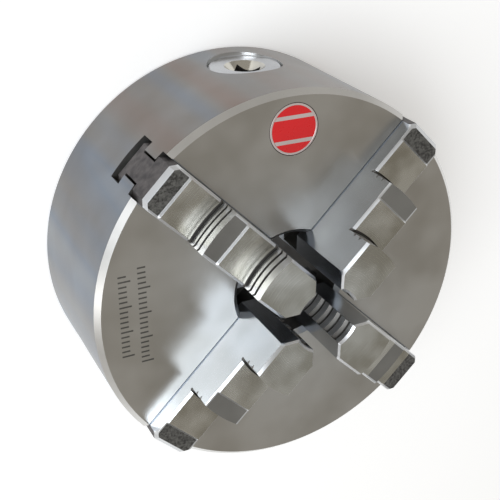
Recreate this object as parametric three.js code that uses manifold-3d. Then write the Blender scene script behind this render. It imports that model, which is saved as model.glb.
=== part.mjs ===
// Four-jaw self-centring scroll chuck. Millimetres, +Z from the rear mounting face towards the jaws.
// A key turns one of the bevel pinions, the pinion turns the scroll plate, and the spiral thread on
// the front of the scroll plate moves all four jaws in or out together.
import * as THREE from "three";
import { ConvexGeometry } from "three/addons/geometries/ConvexGeometry.js";
import { mergeVertices } from "three/addons/utils/BufferGeometryUtils.js";
import Module from "manifold-3d";

// Body
const BODY_DIAMETER = 160;
const BODY_HEIGHT = 65;
const RIM_WALL = 15;
const BORE_DIAMETER = 45;
const BORE_MOUTH_CHAMFER = 2;
const FRONT_RIM_CHAMFER = 2.1;
const REAR_RIM_CHAMFER = 1;
const HUB_WALL = 11.5;

// Rear register, cover and fasteners
const REGISTER_DEPTH = 5;
const COVER_THICKNESS = 5;
const COVER_EDGE_CLEARANCE = 0.2;
const COVER_COLLAR_WALL = 9.3;
const SEAT_GAP = 0.1;
const COVER_SCREW_COUNT = 6;
const COVER_SCREW_DIAMETER = 5;
const COVER_SCREW_HEAD_DIAMETER = 9.6;
const COVER_SCREW_LENGTH = 16;
const COVER_SCREW_SOCKET_DEPTH = 2;
const COVER_SCREW_SOCKET_SHARE = 0.7;
const HEX_SIDES = 6;
const OVERCUT = 1;
const SCREW_CLEARANCE = 0.15;
const MOUNTING_HOLE_COUNT = 3;
const MOUNTING_HOLE_DIAMETER = 6.8;
const MOUNTING_HOLE_DEPTH = 16;
const MOUNTING_HOLE_INSET = 9;

// Scroll plate
const SCROLL_PITCH = 8;
const SCROLL_LAND_SHARE = 0.45;
const THREAD_HEIGHT = 3.4;
const THREAD_CLEARANCE = 0.3;
const SCROLL_RUNNING_CLEARANCE = 0.25;
const SCROLL_RIM_THICKNESS = 3.4;
const SCROLL_HUB_THICKNESS = 8.4;
const THREAD_EDGE_INSET = 0.4;

// Bevel gears
const GEAR_MODULE = 1.95;
const PINION_COUNT = 3;
const PINION_TEETH = 12;
const GEAR_FACE_WIDTH = 12.3;
const GEAR_RIM = 6;
const ADDENDUM = 1.7;
const DEDENDUM = 2.3;
const TOOTH_SHARE_OF_PITCH = 0.4;
const FLANK_ANGLE = THREE.MathUtils.degToRad(20);
const TOOTH_EMBED = 0.4;

// Pinions
const PINION_HEAD_OVER_GEAR = 1.45;
const PINION_HEAD_CLEARANCE = 0.2;
const PINION_HEAD_RECESS = 1.7;
const PINION_HEAD_CHAMFER = 0.6;
const PINION_NECK_DIAMETER = 22;
const PINION_COVER_GAP = 0.25;
const SPIGOT_DIAMETER = 12;
const SPIGOT_CLEARANCE = 0.2;
const SPIGOT_HUB_DEPTH = 7;
const KEY_SQUARE = 10;
const KEY_SQUARE_DEPTH = 16;
const KEY_MOUTH_DIAMETER = 16.4;
const RETAINING_GROOVE_WIDTH = 4;
const RETAINING_GROOVE_DEPTH = 2.5;
const RETAINING_GROOVE_INSET = 3.3;
const RETAINING_SCREW_DIAMETER = 6;
const RETAINING_DOG_DIAMETER = 3.2;
const RETAINING_SCREW_RECESS = 1.2;
const RETAINING_SOCKET = 3;
const RETAINING_SOCKET_DEPTH = 3;

// Jaw slots
const JAW_COUNT = 4;
const FIRST_JAW_AZIMUTH = Math.PI / 4;
const SLOT_DEPTH = 23.6;
const TONGUE_DEPTH = 5.3;
const TONGUE_HEIGHT = 10.4;
const TONGUE_GAP = 11.6;
const SLOT_EDGE_BREAK = 0.3;

// Jaws
const JAW_WIDTH = 19.2;
const JAW_GUIDE_CLEARANCE = 0.1;
const JAW_GROOVE_CLEARANCE = 0.2;
const JAW_NECK_WIDTH = 9.8;
const JAW_TIP_RADIUS = 12;
const JAW_TIP_WIDTH = 8.8;
const JAW_END_INSET = 0.5;
const JAW_END_CHAMFER = 2.3;
const JAW_STEP_HEIGHTS = [7.2, 18.8, 30];
const JAW_RISER_RADII = [55.2, 32.8];
const JAW_LEDGE_LENGTHS = [8.2, 6.6];
const JAW_LEDGE_DROP = 0.8;
const UNDERCUT_WIDTH = 2.2;
const UNDERCUT_DEPTH = 1;
const JAW_TOOTH_COUNT = 7;
const JAW_FIRST_TOOTH_RADIUS = 21;
const JAW_TOOTH_FLANK_GAP = 0.35;
const JAW_TOOTH_SIDE_INSET = 0.6;

// Badge
const BADGE_DIAMETER = 19.8;
const BADGE_THICKNESS = 0.6;
const BADGE_STAND_OUT = 0.1;
const BADGE_RADIUS_FROM_AXIS = 65.3;
const BADGE_AZIMUTH = Math.PI / 2;
const BADGE_POCKET_CLEARANCE = 0.2;

// Facets
const BODY_FACETS = 60;
const PINION_FACETS = 24;
const SCREW_FACETS = 12;
const SPIRAL_STEPS_PER_TURN = 42;
const FLANK_STEPS = 6;
const ARC_STEPS = 6;

// Places that follow from the sizes above
const bodyRadius = BODY_DIAMETER / 2;
const boreRadius = BORE_DIAMETER / 2;
const hubRadius = boreRadius + HUB_WALL;
const cavityRadius = bodyRadius - RIM_WALL;
const scrollRadius = cavityRadius - SCROLL_RUNNING_CLEARANCE;
const scrollBoreRadius = hubRadius + SCROLL_RUNNING_CLEARANCE;
const coverTop = REGISTER_DEPTH + COVER_THICKNESS;
const hubEnd = coverTop + SEAT_GAP;
const coverScrewRadius = boreRadius + HUB_WALL / 2;

const slotFloor = BODY_HEIGHT - SLOT_DEPTH;
const tongueTop = BODY_HEIGHT - TONGUE_DEPTH;
const tongueBottom = tongueTop - TONGUE_HEIGHT;
const slotHalfWidth = JAW_WIDTH / 2 + JAW_GUIDE_CLEARANCE;

const threadFloor = slotFloor;
const threadTop = threadFloor + THREAD_HEIGHT;
const ceiling = threadTop + THREAD_CLEARANCE;
const scrollHubBottom = threadFloor - SCROLL_HUB_THICKNESS;

const toothPitch = GEAR_MODULE * Math.PI;
const scrollTeeth = PINION_COUNT * Math.floor((2 * (scrollRadius - GEAR_RIM)) / (PINION_COUNT * GEAR_MODULE));
const gearPitchRadius = (GEAR_MODULE * scrollTeeth) / 2;
const pinionPitchRadius = (GEAR_MODULE * PINION_TEETH) / 2;
const pinionConeAngle = Math.atan2(pinionPitchRadius, gearPitchRadius);
const smallEndScale = (gearPitchRadius - GEAR_FACE_WIDTH) / gearPitchRadius;
const pinionTipRadius = pinionPitchRadius + ADDENDUM * Math.cos(pinionConeAngle);
const pinionRootRadius = pinionPitchRadius - DEDENDUM * Math.cos(pinionConeAngle);
const pinionAxisHeight = coverTop + PINION_COVER_GAP + pinionTipRadius;
const pinionHeadRadius = pinionTipRadius + PINION_HEAD_OVER_GEAR;
const pinionBoreRadius = pinionHeadRadius + PINION_HEAD_CLEARANCE;
const pinionHeadInner = cavityRadius + PINION_HEAD_CLEARANCE;
const pinionHeadOuter = bodyRadius - PINION_HEAD_RECESS;
const spigotRadius = SPIGOT_DIAMETER / 2;
const spigotEnd = hubRadius - SPIGOT_HUB_DEPTH;
const grooveOuter = pinionHeadOuter - RETAINING_GROOVE_INSET;
const retainingScrewRadius = grooveOuter - RETAINING_GROOVE_WIDTH / 2;

const jawEndRadius = bodyRadius - JAW_END_INSET;
const jawBottom = ceiling;
const jawHalfWidth = JAW_WIDTH / 2;
const noseLength = (JAW_WIDTH - JAW_TIP_WIDTH) / 2;
const stepTops = JAW_STEP_HEIGHTS.map((height) => BODY_HEIGHT + height);
const scrollLand = SCROLL_PITCH * SCROLL_LAND_SHARE;
const jawToothThickness = SCROLL_PITCH - scrollLand - 2 * JAW_TOOTH_FLANK_GAP;
const threadPhaseRadius = JAW_FIRST_TOOTH_RADIUS + SCROLL_PITCH / 2;

const wasm = await Module();
wasm.setup();

/** A closed geometry as a manifold-3d solid. */
function solid(geometry) {
  const bare = geometry.clone();
  bare.deleteAttribute("normal");
  bare.deleteAttribute("uv");
  const merged = mergeVertices(bare, 1e-4);
  return new wasm.Manifold(
    new wasm.Mesh({
      numProp: 3,
      vertProperties: merged.attributes.position.array,
      triVerts: new Uint32Array(merged.index.array),
    }),
  );
}

/** A manifold-3d solid as a geometry. */
function geometryOf(made) {
  const mesh = made.getMesh();
  const geometry = new THREE.BufferGeometry();
  geometry.setAttribute("position", new THREE.BufferAttribute(mesh.vertProperties, 3));
  geometry.setIndex(new THREE.BufferAttribute(mesh.triVerts, 1));
  geometry.computeVertexNormals();
  return geometry;
}

/** The solid turned about Z from a closed outline of [radius, height] points, given anticlockwise. */
function lathe(outline, facets) {
  const points = [...outline, outline[0]].map(([radius, height]) => new THREE.Vector2(radius, height));
  return new THREE.LatheGeometry(points, facets).rotateX(Math.PI / 2);
}

/** An outline of [x, y] points extruded upwards from one height to another. */
function prism(outline, bottom, top) {
  const shape = new THREE.Shape(outline.map(([x, y]) => new THREE.Vector2(x, y)));
  const depth = top - bottom;
  return new THREE.ExtrudeGeometry(shape, { depth, bevelEnabled: false }).translate(0, 0, bottom);
}

/** An outline of [across, height] points extruded outwards along +X from one radius to another. */
function radialBar(outline, inner, outer) {
  const toRadial = new THREE.Matrix4().makeBasis(
    new THREE.Vector3(0, 1, 0),
    new THREE.Vector3(0, 0, 1),
    new THREE.Vector3(1, 0, 0),
  );
  return prism(outline, inner, outer).applyMatrix4(toRadial);
}

/** An outline of [radius, height] points along the first jaw's +X, extruded by a half width each way. */
function crossBar(outline, halfWidth) {
  return prism(outline, -halfWidth, halfWidth).rotateX(Math.PI / 2);
}

/** An upright round pin or hole at a radius and azimuth. */
function uprightPin(diameter, bottom, top, radius, azimuth, facets = SCREW_FACETS) {
  return new THREE.CylinderGeometry(diameter / 2, diameter / 2, top - bottom, facets)
    .rotateX(Math.PI / 2)
    .translate(radius, 0, (bottom + top) / 2)
    .rotateZ(azimuth);
}

/** A round pin or hole along +X at the pinion axis height, turned to an azimuth. */
function radialPin(radius, inner, outer, azimuth) {
  return new THREE.CylinderGeometry(radius, radius, outer - inner, PINION_FACETS)
    .rotateZ(-Math.PI / 2)
    .translate((inner + outer) / 2, 0, pinionAxisHeight)
    .rotateZ(azimuth);
}

/** A rectangle as an outline. */
function rectangle(left, bottom, right, top) {
  return [
    [left, bottom],
    [right, bottom],
    [right, top],
    [left, top],
  ];
}

const jawAzimuth = (index) => FIRST_JAW_AZIMUTH + (index * 2 * Math.PI) / JAW_COUNT;
const pinionAzimuth = (index) => Math.PI / 2 + (index * 2 * Math.PI) / PINION_COUNT;
const coverScrewAzimuth = (index) => (index * 2 * Math.PI) / COVER_SCREW_COUNT;
const mountingHoleAzimuth = (index) => Math.PI / 6 + (index * 2 * Math.PI) / MOUNTING_HOLE_COUNT;

/** The section of one jaw slot: a wide foot, two tongues that hold the jaw down, and a wide mouth. */
function slotSection() {
  const mouth = slotHalfWidth + SLOT_EDGE_BREAK;
  const half = [
    [slotHalfWidth, slotFloor],
    [slotHalfWidth, tongueBottom],
    [TONGUE_GAP / 2, tongueBottom],
    [TONGUE_GAP / 2, tongueTop],
    [slotHalfWidth, tongueTop],
    [slotHalfWidth, BODY_HEIGHT - SLOT_EDGE_BREAK],
    [mouth, BODY_HEIGHT],
    [mouth, BODY_HEIGHT + 1],
  ];
  const otherHalf = half.map(([across, height]) => [-across, height]).reverse();
  return [...half, ...otherHalf];
}

/** The turned blank of the body: rim wall, front disc and hub. */
function bodyBlank() {
  return lathe(
    [
      [boreRadius, hubEnd],
      [hubRadius, hubEnd],
      [hubRadius, ceiling],
      [cavityRadius, ceiling],
      [cavityRadius, 0],
      [bodyRadius - REAR_RIM_CHAMFER, 0],
      [bodyRadius, REAR_RIM_CHAMFER],
      [bodyRadius, BODY_HEIGHT - FRONT_RIM_CHAMFER],
      [bodyRadius - FRONT_RIM_CHAMFER, BODY_HEIGHT],
      [boreRadius + BORE_MOUTH_CHAMFER, BODY_HEIGHT],
      [boreRadius, BODY_HEIGHT - BORE_MOUTH_CHAMFER],
    ],
    BODY_FACETS,
  );
}

/** The body: the blank with its jaw slots, pinion bores, screw holes, mounting holes and badge pocket. */
function chuckBody() {
  const cuts = [];
  for (let i = 0; i < JAW_COUNT; i++) {
    cuts.push(radialBar(slotSection(), boreRadius / 2, bodyRadius + OVERCUT).rotateZ(jawAzimuth(i)));
  }
  const screwHole = RETAINING_SCREW_DIAMETER + 2 * SCREW_CLEARANCE;
  for (let i = 0; i < PINION_COUNT; i++) {
    const azimuth = pinionAzimuth(i);
    cuts.push(radialPin(pinionBoreRadius, cavityRadius - RIM_WALL / 2, bodyRadius + OVERCUT, azimuth));
    const spigotHole = spigotRadius + SPIGOT_CLEARANCE;
    cuts.push(radialPin(spigotHole, spigotEnd - SPIGOT_CLEARANCE, hubRadius + OVERCUT, azimuth));
    const screwHoleTop = pinionAxisHeight - pinionHeadRadius + OVERCUT;
    cuts.push(uprightPin(screwHole, -OVERCUT, screwHoleTop, retainingScrewRadius, azimuth));
  }
  const coverScrewHole = COVER_SCREW_DIAMETER + 2 * SCREW_CLEARANCE;
  const coverScrewHoleEnd = REGISTER_DEPTH + COVER_SCREW_LENGTH + OVERCUT;
  for (let i = 0; i < COVER_SCREW_COUNT; i++) {
    const azimuth = coverScrewAzimuth(i);
    cuts.push(uprightPin(coverScrewHole, hubEnd - 1, coverScrewHoleEnd, coverScrewRadius, azimuth));
  }
  const mountingRadius = bodyRadius - MOUNTING_HOLE_INSET;
  for (let i = 0; i < MOUNTING_HOLE_COUNT; i++) {
    const azimuth = mountingHoleAzimuth(i);
    cuts.push(uprightPin(MOUNTING_HOLE_DIAMETER, -1, MOUNTING_HOLE_DEPTH, mountingRadius, azimuth));
  }
  const pocket = BADGE_DIAMETER + 2 * BADGE_POCKET_CLEARANCE;
  const pocketFloor = BODY_HEIGHT + BADGE_STAND_OUT - BADGE_THICKNESS - SEAT_GAP;
  const pocketTop = BODY_HEIGHT + OVERCUT;
  cuts.push(uprightPin(pocket, pocketFloor, pocketTop, BADGE_RADIUS_FROM_AXIS, BADGE_AZIMUTH, PINION_FACETS));
  return cuts.reduce((made, cut) => made.subtract(solid(cut)), solid(bodyBlank()));
}

/** The back cover: a disc that closes the cavity, with a collar that carries the scroll plate. */
function backCover() {
  const collarInner = hubRadius + COVER_EDGE_CLEARANCE;
  const collarOuter = collarInner + COVER_COLLAR_WALL;
  const collarTop = scrollHubBottom - SCROLL_RUNNING_CLEARANCE;
  const blank = lathe(
    [
      [boreRadius, REGISTER_DEPTH],
      [cavityRadius - COVER_EDGE_CLEARANCE, REGISTER_DEPTH],
      [cavityRadius - COVER_EDGE_CLEARANCE, coverTop],
      [collarOuter, coverTop],
      [collarOuter, collarTop],
      [collarInner, collarTop],
      [collarInner, coverTop],
      [boreRadius, coverTop],
    ],
    BODY_FACETS,
  );
  const holes = [];
  for (let i = 0; i < PINION_COUNT; i++) {
    const radius = spigotRadius + SPIGOT_CLEARANCE;
    holes.push(radialPin(radius, collarInner - OVERCUT, collarOuter + OVERCUT, pinionAzimuth(i)));
  }
  for (let i = 0; i < COVER_SCREW_COUNT; i++) {
    holes.push(coverScrewShape(SCREW_CLEARANCE, coverTop + OVERCUT).rotateZ(coverScrewAzimuth(i)));
  }
  return holes.reduce((made, hole) => made.subtract(solid(hole)), solid(blank));
}

/** A countersunk screw's outer shape, grown by a clearance, with its head flush in the cover's rear face. */
function coverScrewShape(clearance, top) {
  const shankRadius = COVER_SCREW_DIAMETER / 2 + clearance;
  const headRadius = COVER_SCREW_HEAD_DIAMETER / 2 + clearance;
  const headBottom = clearance > 0 ? REGISTER_DEPTH - 1 : REGISTER_DEPTH + SEAT_GAP;
  const rimTop = REGISTER_DEPTH + SEAT_GAP;
  const axis = 0;
  const outline = [
    [axis, headBottom],
    [headRadius, headBottom],
    [headRadius, rimTop + SEAT_GAP],
    [shankRadius, rimTop + headRadius - shankRadius],
    [shankRadius, top],
    [axis, top],
  ];
  const points = outline.map(([radius, height]) => new THREE.Vector2(radius, height));
  return new THREE.LatheGeometry(points, SCREW_FACETS).rotateX(Math.PI / 2).translate(coverScrewRadius, 0, 0);
}

/** A cover screw with its hexagon socket. */
function coverScrew() {
  const socketRadius = COVER_SCREW_DIAMETER * COVER_SCREW_SOCKET_SHARE;
  const socketEnd = REGISTER_DEPTH + COVER_SCREW_SOCKET_DEPTH;
  const socket = uprightPin(socketRadius, 0, socketEnd, coverScrewRadius, 0, HEX_SIDES);
  return solid(coverScrewShape(0, REGISTER_DEPTH + COVER_SCREW_LENGTH)).subtract(solid(socket));
}

/** The spiral thread, as an outline that runs out along one flank and back along the other. */
function spiralOutline() {
  const firstRadius = scrollBoreRadius + THREAD_EDGE_INSET + scrollLand / 2;
  const lastRadius = scrollRadius - THREAD_EDGE_INSET - scrollLand / 2;
  const turns = (lastRadius - firstRadius) / SCROLL_PITCH;
  const steps = Math.ceil(turns * SPIRAL_STEPS_PER_TURN);
  const firstAngle = FIRST_JAW_AZIMUTH + ((firstRadius - threadPhaseRadius) / SCROLL_PITCH) * 2 * Math.PI;
  const inner = [];
  const outer = [];
  for (let i = 0; i <= steps; i++) {
    const share = i / steps;
    const angle = firstAngle + share * turns * 2 * Math.PI;
    const middle = firstRadius + share * turns * SCROLL_PITCH;
    const place = (radius) => [radius * Math.cos(angle), radius * Math.sin(angle)];
    inner.push(place(middle - scrollLand / 2));
    outer.push(place(middle + scrollLand / 2));
  }
  return [...outer, ...inner.reverse()];
}

/** One bevel tooth of the scroll plate, pointing down at azimuth 0. */
function scrollTooth() {
  const corner = (scale, depth, side) => {
    const radius = gearPitchRadius * scale - depth * Math.sin(pinionConeAngle);
    const height = pinionPitchRadius * scale + depth * Math.cos(pinionConeAngle);
    return new THREE.Vector3(radius, side * toothHalfWidth(scale, depth), pinionAxisHeight + height);
  };
  return toothFrom(corner, DEDENDUM + TOOTH_EMBED, -ADDENDUM);
}

/** One bevel tooth of a pinion whose axis is +X, pointing up. */
function pinionTooth() {
  const corner = (scale, depth, side) => {
    const along = gearPitchRadius * scale + depth * Math.sin(pinionConeAngle);
    const height = pinionPitchRadius * scale - depth * Math.cos(pinionConeAngle);
    return new THREE.Vector3(along, side * toothHalfWidth(scale, depth), height);
  };
  return toothFrom(corner, DEDENDUM + TOOTH_EMBED, -ADDENDUM);
}

/** Half a tooth's width at a depth below the pitch line, on a cone that shrinks towards the gear centre. */
function toothHalfWidth(scale, depth) {
  return (toothPitch * TOOTH_SHARE_OF_PITCH * scale) / 2 + depth * Math.tan(FLANK_ANGLE);
}

/** A tooth between a root and a tip depth, from its outer end to its inner end. */
function toothFrom(corner, rootDepth, tipDepth) {
  const points = [];
  for (const scale of [1, smallEndScale]) {
    const shrink = (depth) => depth * scale;
    for (const depth of [rootDepth, tipDepth]) {
      points.push(corner(scale, shrink(depth), 1), corner(scale, shrink(depth), -1));
    }
  }
  return new ConvexGeometry(points);
}

/** The scroll plate: spiral thread in front, bevel teeth behind, running on the body's hub. */
function scrollPlate() {
  const rootHeight = (pitchRadius) => (pinionPitchRadius + DEDENDUM * Math.cos(pinionConeAngle)) * pitchRadius;
  const rootInset = DEDENDUM * Math.sin(pinionConeAngle);
  const blank = lathe(
    [
      [scrollBoreRadius, scrollHubBottom],
      [(gearPitchRadius - rootInset) * smallEndScale - 1, scrollHubBottom],
      [(gearPitchRadius - rootInset) * smallEndScale, pinionAxisHeight + rootHeight(smallEndScale)],
      [gearPitchRadius - rootInset, pinionAxisHeight + rootHeight(1)],
      [scrollRadius, threadFloor - SCROLL_RIM_THICKNESS],
      [scrollRadius, threadFloor],
      [scrollBoreRadius, threadFloor],
    ],
    BODY_FACETS,
  );
  let made = solid(blank).add(solid(prism(spiralOutline(), threadFloor - TOOTH_EMBED, threadTop)));
  const toothAngle = (2 * Math.PI) / scrollTeeth;
  const gapAtPinion = pinionAzimuth(0) + toothAngle / 2;
  for (let i = 0; i < scrollTeeth; i++) {
    made = made.add(solid(scrollTooth().rotateZ(gapAtPinion + i * toothAngle)));
  }
  return made;
}

/** A pinion with its axis along +X from the chuck's axis: spigot, bevel teeth, neck and head. */
function pinion() {
  const rootInset = DEDENDUM * Math.sin(pinionConeAngle);
  const gearOuterEnd = gearPitchRadius + rootInset;
  const gearInnerEnd = gearOuterEnd * smallEndScale;
  const grooveInner = grooveOuter - RETAINING_GROOVE_WIDTH;
  const grooveRadius = pinionHeadRadius - RETAINING_GROOVE_DEPTH;
  const outline = [
    [0, spigotEnd],
    [spigotRadius, spigotEnd],
    [spigotRadius, gearInnerEnd],
    [pinionRootRadius * smallEndScale, gearInnerEnd],
    [pinionRootRadius, gearOuterEnd],
    [PINION_NECK_DIAMETER / 2, gearOuterEnd],
    [PINION_NECK_DIAMETER / 2, pinionHeadInner],
    [pinionHeadRadius, pinionHeadInner],
    [pinionHeadRadius, grooveInner],
    [grooveRadius, grooveInner],
    [grooveRadius, grooveOuter],
    [pinionHeadRadius, grooveOuter],
    [pinionHeadRadius, pinionHeadOuter - PINION_HEAD_CHAMFER],
    [pinionHeadRadius - PINION_HEAD_CHAMFER, pinionHeadOuter],
    [0, pinionHeadOuter],
  ];
  const points = outline.map(([radius, along]) => new THREE.Vector2(radius, along));
  const toAxis = -Math.PI / 2;
  let made = solid(new THREE.LatheGeometry(points, PINION_FACETS).rotateZ(toAxis));
  for (let i = 0; i < PINION_TEETH; i++) {
    made = made.add(solid(pinionTooth().rotateX((i * 2 * Math.PI) / PINION_TEETH)));
  }
  const mouthRadius = KEY_MOUTH_DIAMETER / 2;
  const wide = mouthRadius + OVERCUT;
  const mouth = new THREE.CylinderGeometry(wide, KEY_SQUARE / 2, wide - KEY_SQUARE / 2, PINION_FACETS);
  const mouthMiddle = pinionHeadOuter + OVERCUT - (wide - KEY_SQUARE / 2) / 2;
  const square = new THREE.BoxGeometry(KEY_SQUARE_DEPTH + OVERCUT, KEY_SQUARE, KEY_SQUARE)
    .rotateX(Math.PI / 4)
    .translate(pinionHeadOuter + OVERCUT - (KEY_SQUARE_DEPTH + OVERCUT) / 2, 0, 0);
  made = made.subtract(solid(mouth.rotateZ(toAxis).translate(mouthMiddle, 0, 0)));
  return made.subtract(solid(square));
}

/** A set screw whose dog point sits in the pinion's groove and keeps the pinion in. */
function retainingScrew() {
  const shoulder = pinionAxisHeight - pinionHeadRadius - THREAD_CLEARANCE;
  const tip = pinionAxisHeight - pinionHeadRadius + RETAINING_GROOVE_DEPTH - THREAD_CLEARANCE;
  const outline = [
    [0, RETAINING_SCREW_RECESS],
    [RETAINING_SCREW_DIAMETER / 2, RETAINING_SCREW_RECESS],
    [RETAINING_SCREW_DIAMETER / 2, shoulder],
    [RETAINING_DOG_DIAMETER / 2, shoulder],
    [RETAINING_DOG_DIAMETER / 2, tip],
    [0, tip],
  ];
  const points = outline.map(([radius, height]) => new THREE.Vector2(radius, height));
  const blank = new THREE.LatheGeometry(points, SCREW_FACETS);
  const screw = blank.rotateX(Math.PI / 2).translate(retainingScrewRadius, 0, 0);
  const socketEnd = RETAINING_SCREW_RECESS + RETAINING_SOCKET_DEPTH;
  const socket = uprightPin(RETAINING_SOCKET / Math.cos(Math.PI / 6), 0, socketEnd, retainingScrewRadius, 0, 6);
  return solid(screw).subtract(solid(socket));
}

/** The pointed inner end that every level of a jaw shares. */
function noseOutline() {
  return [
    [JAW_TIP_RADIUS + noseLength, jawHalfWidth],
    [JAW_TIP_RADIUS, JAW_TIP_WIDTH / 2],
    [JAW_TIP_RADIUS, -JAW_TIP_WIDTH / 2],
    [JAW_TIP_RADIUS + noseLength, -jawHalfWidth],
  ];
}

/** A jaw level that ends in a riser, an arc about the chuck's axis. */
function stepOutline(riserRadius) {
  const halfAngle = Math.asin(jawHalfWidth / riserRadius);
  const arc = [];
  for (let i = 0; i <= ARC_STEPS; i++) {
    const angle = -halfAngle + (2 * halfAngle * i) / ARC_STEPS;
    arc.push([riserRadius * Math.cos(angle), riserRadius * Math.sin(angle)]);
  }
  return [...noseOutline(), ...arc];
}

/** The jaw's lowest level, which runs the whole length and has chamfered outer corners. */
function footOutline() {
  return [
    ...noseOutline(),
    [jawEndRadius - JAW_END_CHAMFER, -jawHalfWidth],
    [jawEndRadius, -jawHalfWidth + JAW_END_CHAMFER],
    [jawEndRadius, jawHalfWidth - JAW_END_CHAMFER],
    [jawEndRadius - JAW_END_CHAMFER, jawHalfWidth],
  ];
}

/** One tooth under a jaw: its flanks clear the spiral thread at every radius that the tooth reaches. */
function jawToothOutline(middle) {
  const halfWidth = jawHalfWidth - JAW_TOOTH_SIDE_INSET;
  const meanRadius = (scrollBoreRadius + scrollRadius) / 2;
  const slope = SCROLL_PITCH / (2 * Math.PI * meanRadius);
  const flank = (offset, radius) => {
    const points = [];
    for (let i = 0; i <= FLANK_STEPS; i++) {
      const across = halfWidth - (2 * halfWidth * i) / FLANK_STEPS;
      const sag = radius - Math.sqrt(radius * radius - across * across);
      points.push([middle + offset + slope * across - sag, across]);
    }
    return points;
  };
  const inner = flank(-jawToothThickness / 2, scrollRadius);
  const outer = flank(jawToothThickness / 2, scrollBoreRadius);
  return [...inner, ...outer.reverse()];
}

/** A jaw along +X: three steps, side grooves for the body's tongues, and teeth set for its place. */
function jaw(index) {
  const [lowTop, middleTop, highTop] = stepTops;
  const [lowRiser, highRiser] = JAW_RISER_RADII;
  let made = solid(prism(footOutline(), jawBottom, lowTop));
  made = made.add(solid(prism(stepOutline(lowRiser), lowTop - 1, middleTop)));
  made = made.add(solid(prism(stepOutline(highRiser), middleTop - 1, highTop)));
  const firstTooth = JAW_FIRST_TOOTH_RADIUS + (SCROLL_PITCH * index) / JAW_COUNT;
  const toothTip = threadFloor + THREAD_CLEARANCE;
  for (let i = 0; i < JAW_TOOTH_COUNT; i++) {
    const outline = jawToothOutline(firstTooth + i * SCROLL_PITCH);
    made = made.add(solid(prism(outline, toothTip, jawBottom + TOOTH_EMBED)));
  }
  for (const cut of jawCuts(lowTop, middleTop)) {
    made = made.subtract(solid(cut));
  }
  return made;
}

/** What is cut from a jaw: side grooves, low ledges, undercuts at the risers and the bevel on its end. */
function jawCuts(lowTop, middleTop) {
  const [lowRiser, highRiser] = JAW_RISER_RADII;
  const [lowLedge, middleLedge] = JAW_LEDGE_LENGTHS;
  const wide = JAW_WIDTH;
  const grooveBottom = tongueBottom - JAW_GROOVE_CLEARANCE;
  const grooveTop = tongueTop + JAW_GROOVE_CLEARANCE;
  const middleRiserSide = Math.sqrt(lowRiser * lowRiser - jawHalfWidth * jawHalfWidth);
  const cuts = [
    radialBar(rectangle(JAW_NECK_WIDTH / 2, grooveBottom, wide, grooveTop), 0, bodyRadius + OVERCUT),
    radialBar(rectangle(-wide, grooveBottom, -JAW_NECK_WIDTH / 2, grooveTop), 0, bodyRadius + OVERCUT),
    crossBar(
      rectangle(jawEndRadius - lowLedge, lowTop - JAW_LEDGE_DROP, bodyRadius + OVERCUT, lowTop + OVERCUT),
      wide,
    ),
    crossBar(
      rectangle(
        middleRiserSide - middleLedge,
        middleTop - JAW_LEDGE_DROP,
        lowRiser + OVERCUT,
        middleTop + OVERCUT,
      ),
      wide,
    ),
    crossBar(
      [
        [jawEndRadius - JAW_END_CHAMFER, lowTop - JAW_LEDGE_DROP],
        [jawEndRadius + OVERCUT, lowTop - JAW_LEDGE_DROP - JAW_END_CHAMFER - OVERCUT],
        [jawEndRadius + OVERCUT, lowTop],
        [jawEndRadius - JAW_END_CHAMFER, lowTop],
      ],
      wide,
    ),
  ];
  for (const [riser, floor] of [
    [lowRiser, lowTop],
    [highRiser, middleTop],
  ]) {
    const depth = floor - UNDERCUT_DEPTH;
    cuts.push(crossBar(rectangle(riser, depth, riser + UNDERCUT_WIDTH, floor + 1), wide));
  }
  return cuts;
}

/** The round badge, flat in its pocket in the front face. */
function badge() {
  const top = BODY_HEIGHT + BADGE_STAND_OUT;
  const back = top - BADGE_THICKNESS;
  return solid(uprightPin(BADGE_DIAMETER, back, top, BADGE_RADIUS_FROM_AXIS, 0, PINION_FACETS));
}

const steel = (color, roughness, metalness = 0.9) =>
  new THREE.MeshStandardMaterial({ color, roughness, metalness });
const bodySteel = steel(0x8f8c84, 0.38);
const coverSteel = steel(0x86847e, 0.45);
const scrollSteel = steel(0x7c7a76, 0.42);
const jawSteel = steel(0xa3a196, 0.3);
const pinionSteel = steel(0xb9b9b4, 0.16);
const screwSteel = steel(0x2b2a29, 0.5, 0.7);
const badgeRed = steel(0xc01c22, 0.3, 0.1);

const chuck = new THREE.Group();

/** Adds one named piece to the chuck, turned about the chuck's axis. */
function place(name, made, material, azimuth = 0) {
  const mesh = new THREE.Mesh(geometryOf(made), material);
  mesh.name = name;
  mesh.rotation.z = azimuth;
  chuck.add(mesh);
  return mesh;
}

place("chuck_body", chuckBody(), bodySteel);
place("back_cover", backCover(), coverSteel);
for (let i = 0; i < COVER_SCREW_COUNT; i++) {
  place(`cover_screw_${i + 1}`, coverScrew(), screwSteel, coverScrewAzimuth(i));
}
place("scroll_plate", scrollPlate(), scrollSteel);
for (let i = 0; i < PINION_COUNT; i++) {
  const azimuth = pinionAzimuth(i);
  place(`pinion_${i + 1}`, pinion(), pinionSteel, azimuth).position.z = pinionAxisHeight;
  place(`pinion_retaining_screw_${i + 1}`, retainingScrew(), screwSteel, azimuth);
}
for (let i = 0; i < JAW_COUNT; i++) {
  place(`jaw_${i + 1}`, jaw(i), jawSteel, jawAzimuth(i));
}
place("badge", badge(), badgeRed, BADGE_AZIMUTH);

export default chuck;
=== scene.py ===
"""Looks of a four-jaw self-centring scroll chuck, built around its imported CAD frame.

Sizes are in millimetres and are turned into metres as each mesh is written. +Z runs along the
chuck's axis from the rear mounting face towards the jaws, and +Y through the pinion by the badge.
"""

import logging
import math
from dataclasses import dataclass, field
from enum import Enum

import bmesh
import bpy
from mathutils import Matrix, Vector


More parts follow.
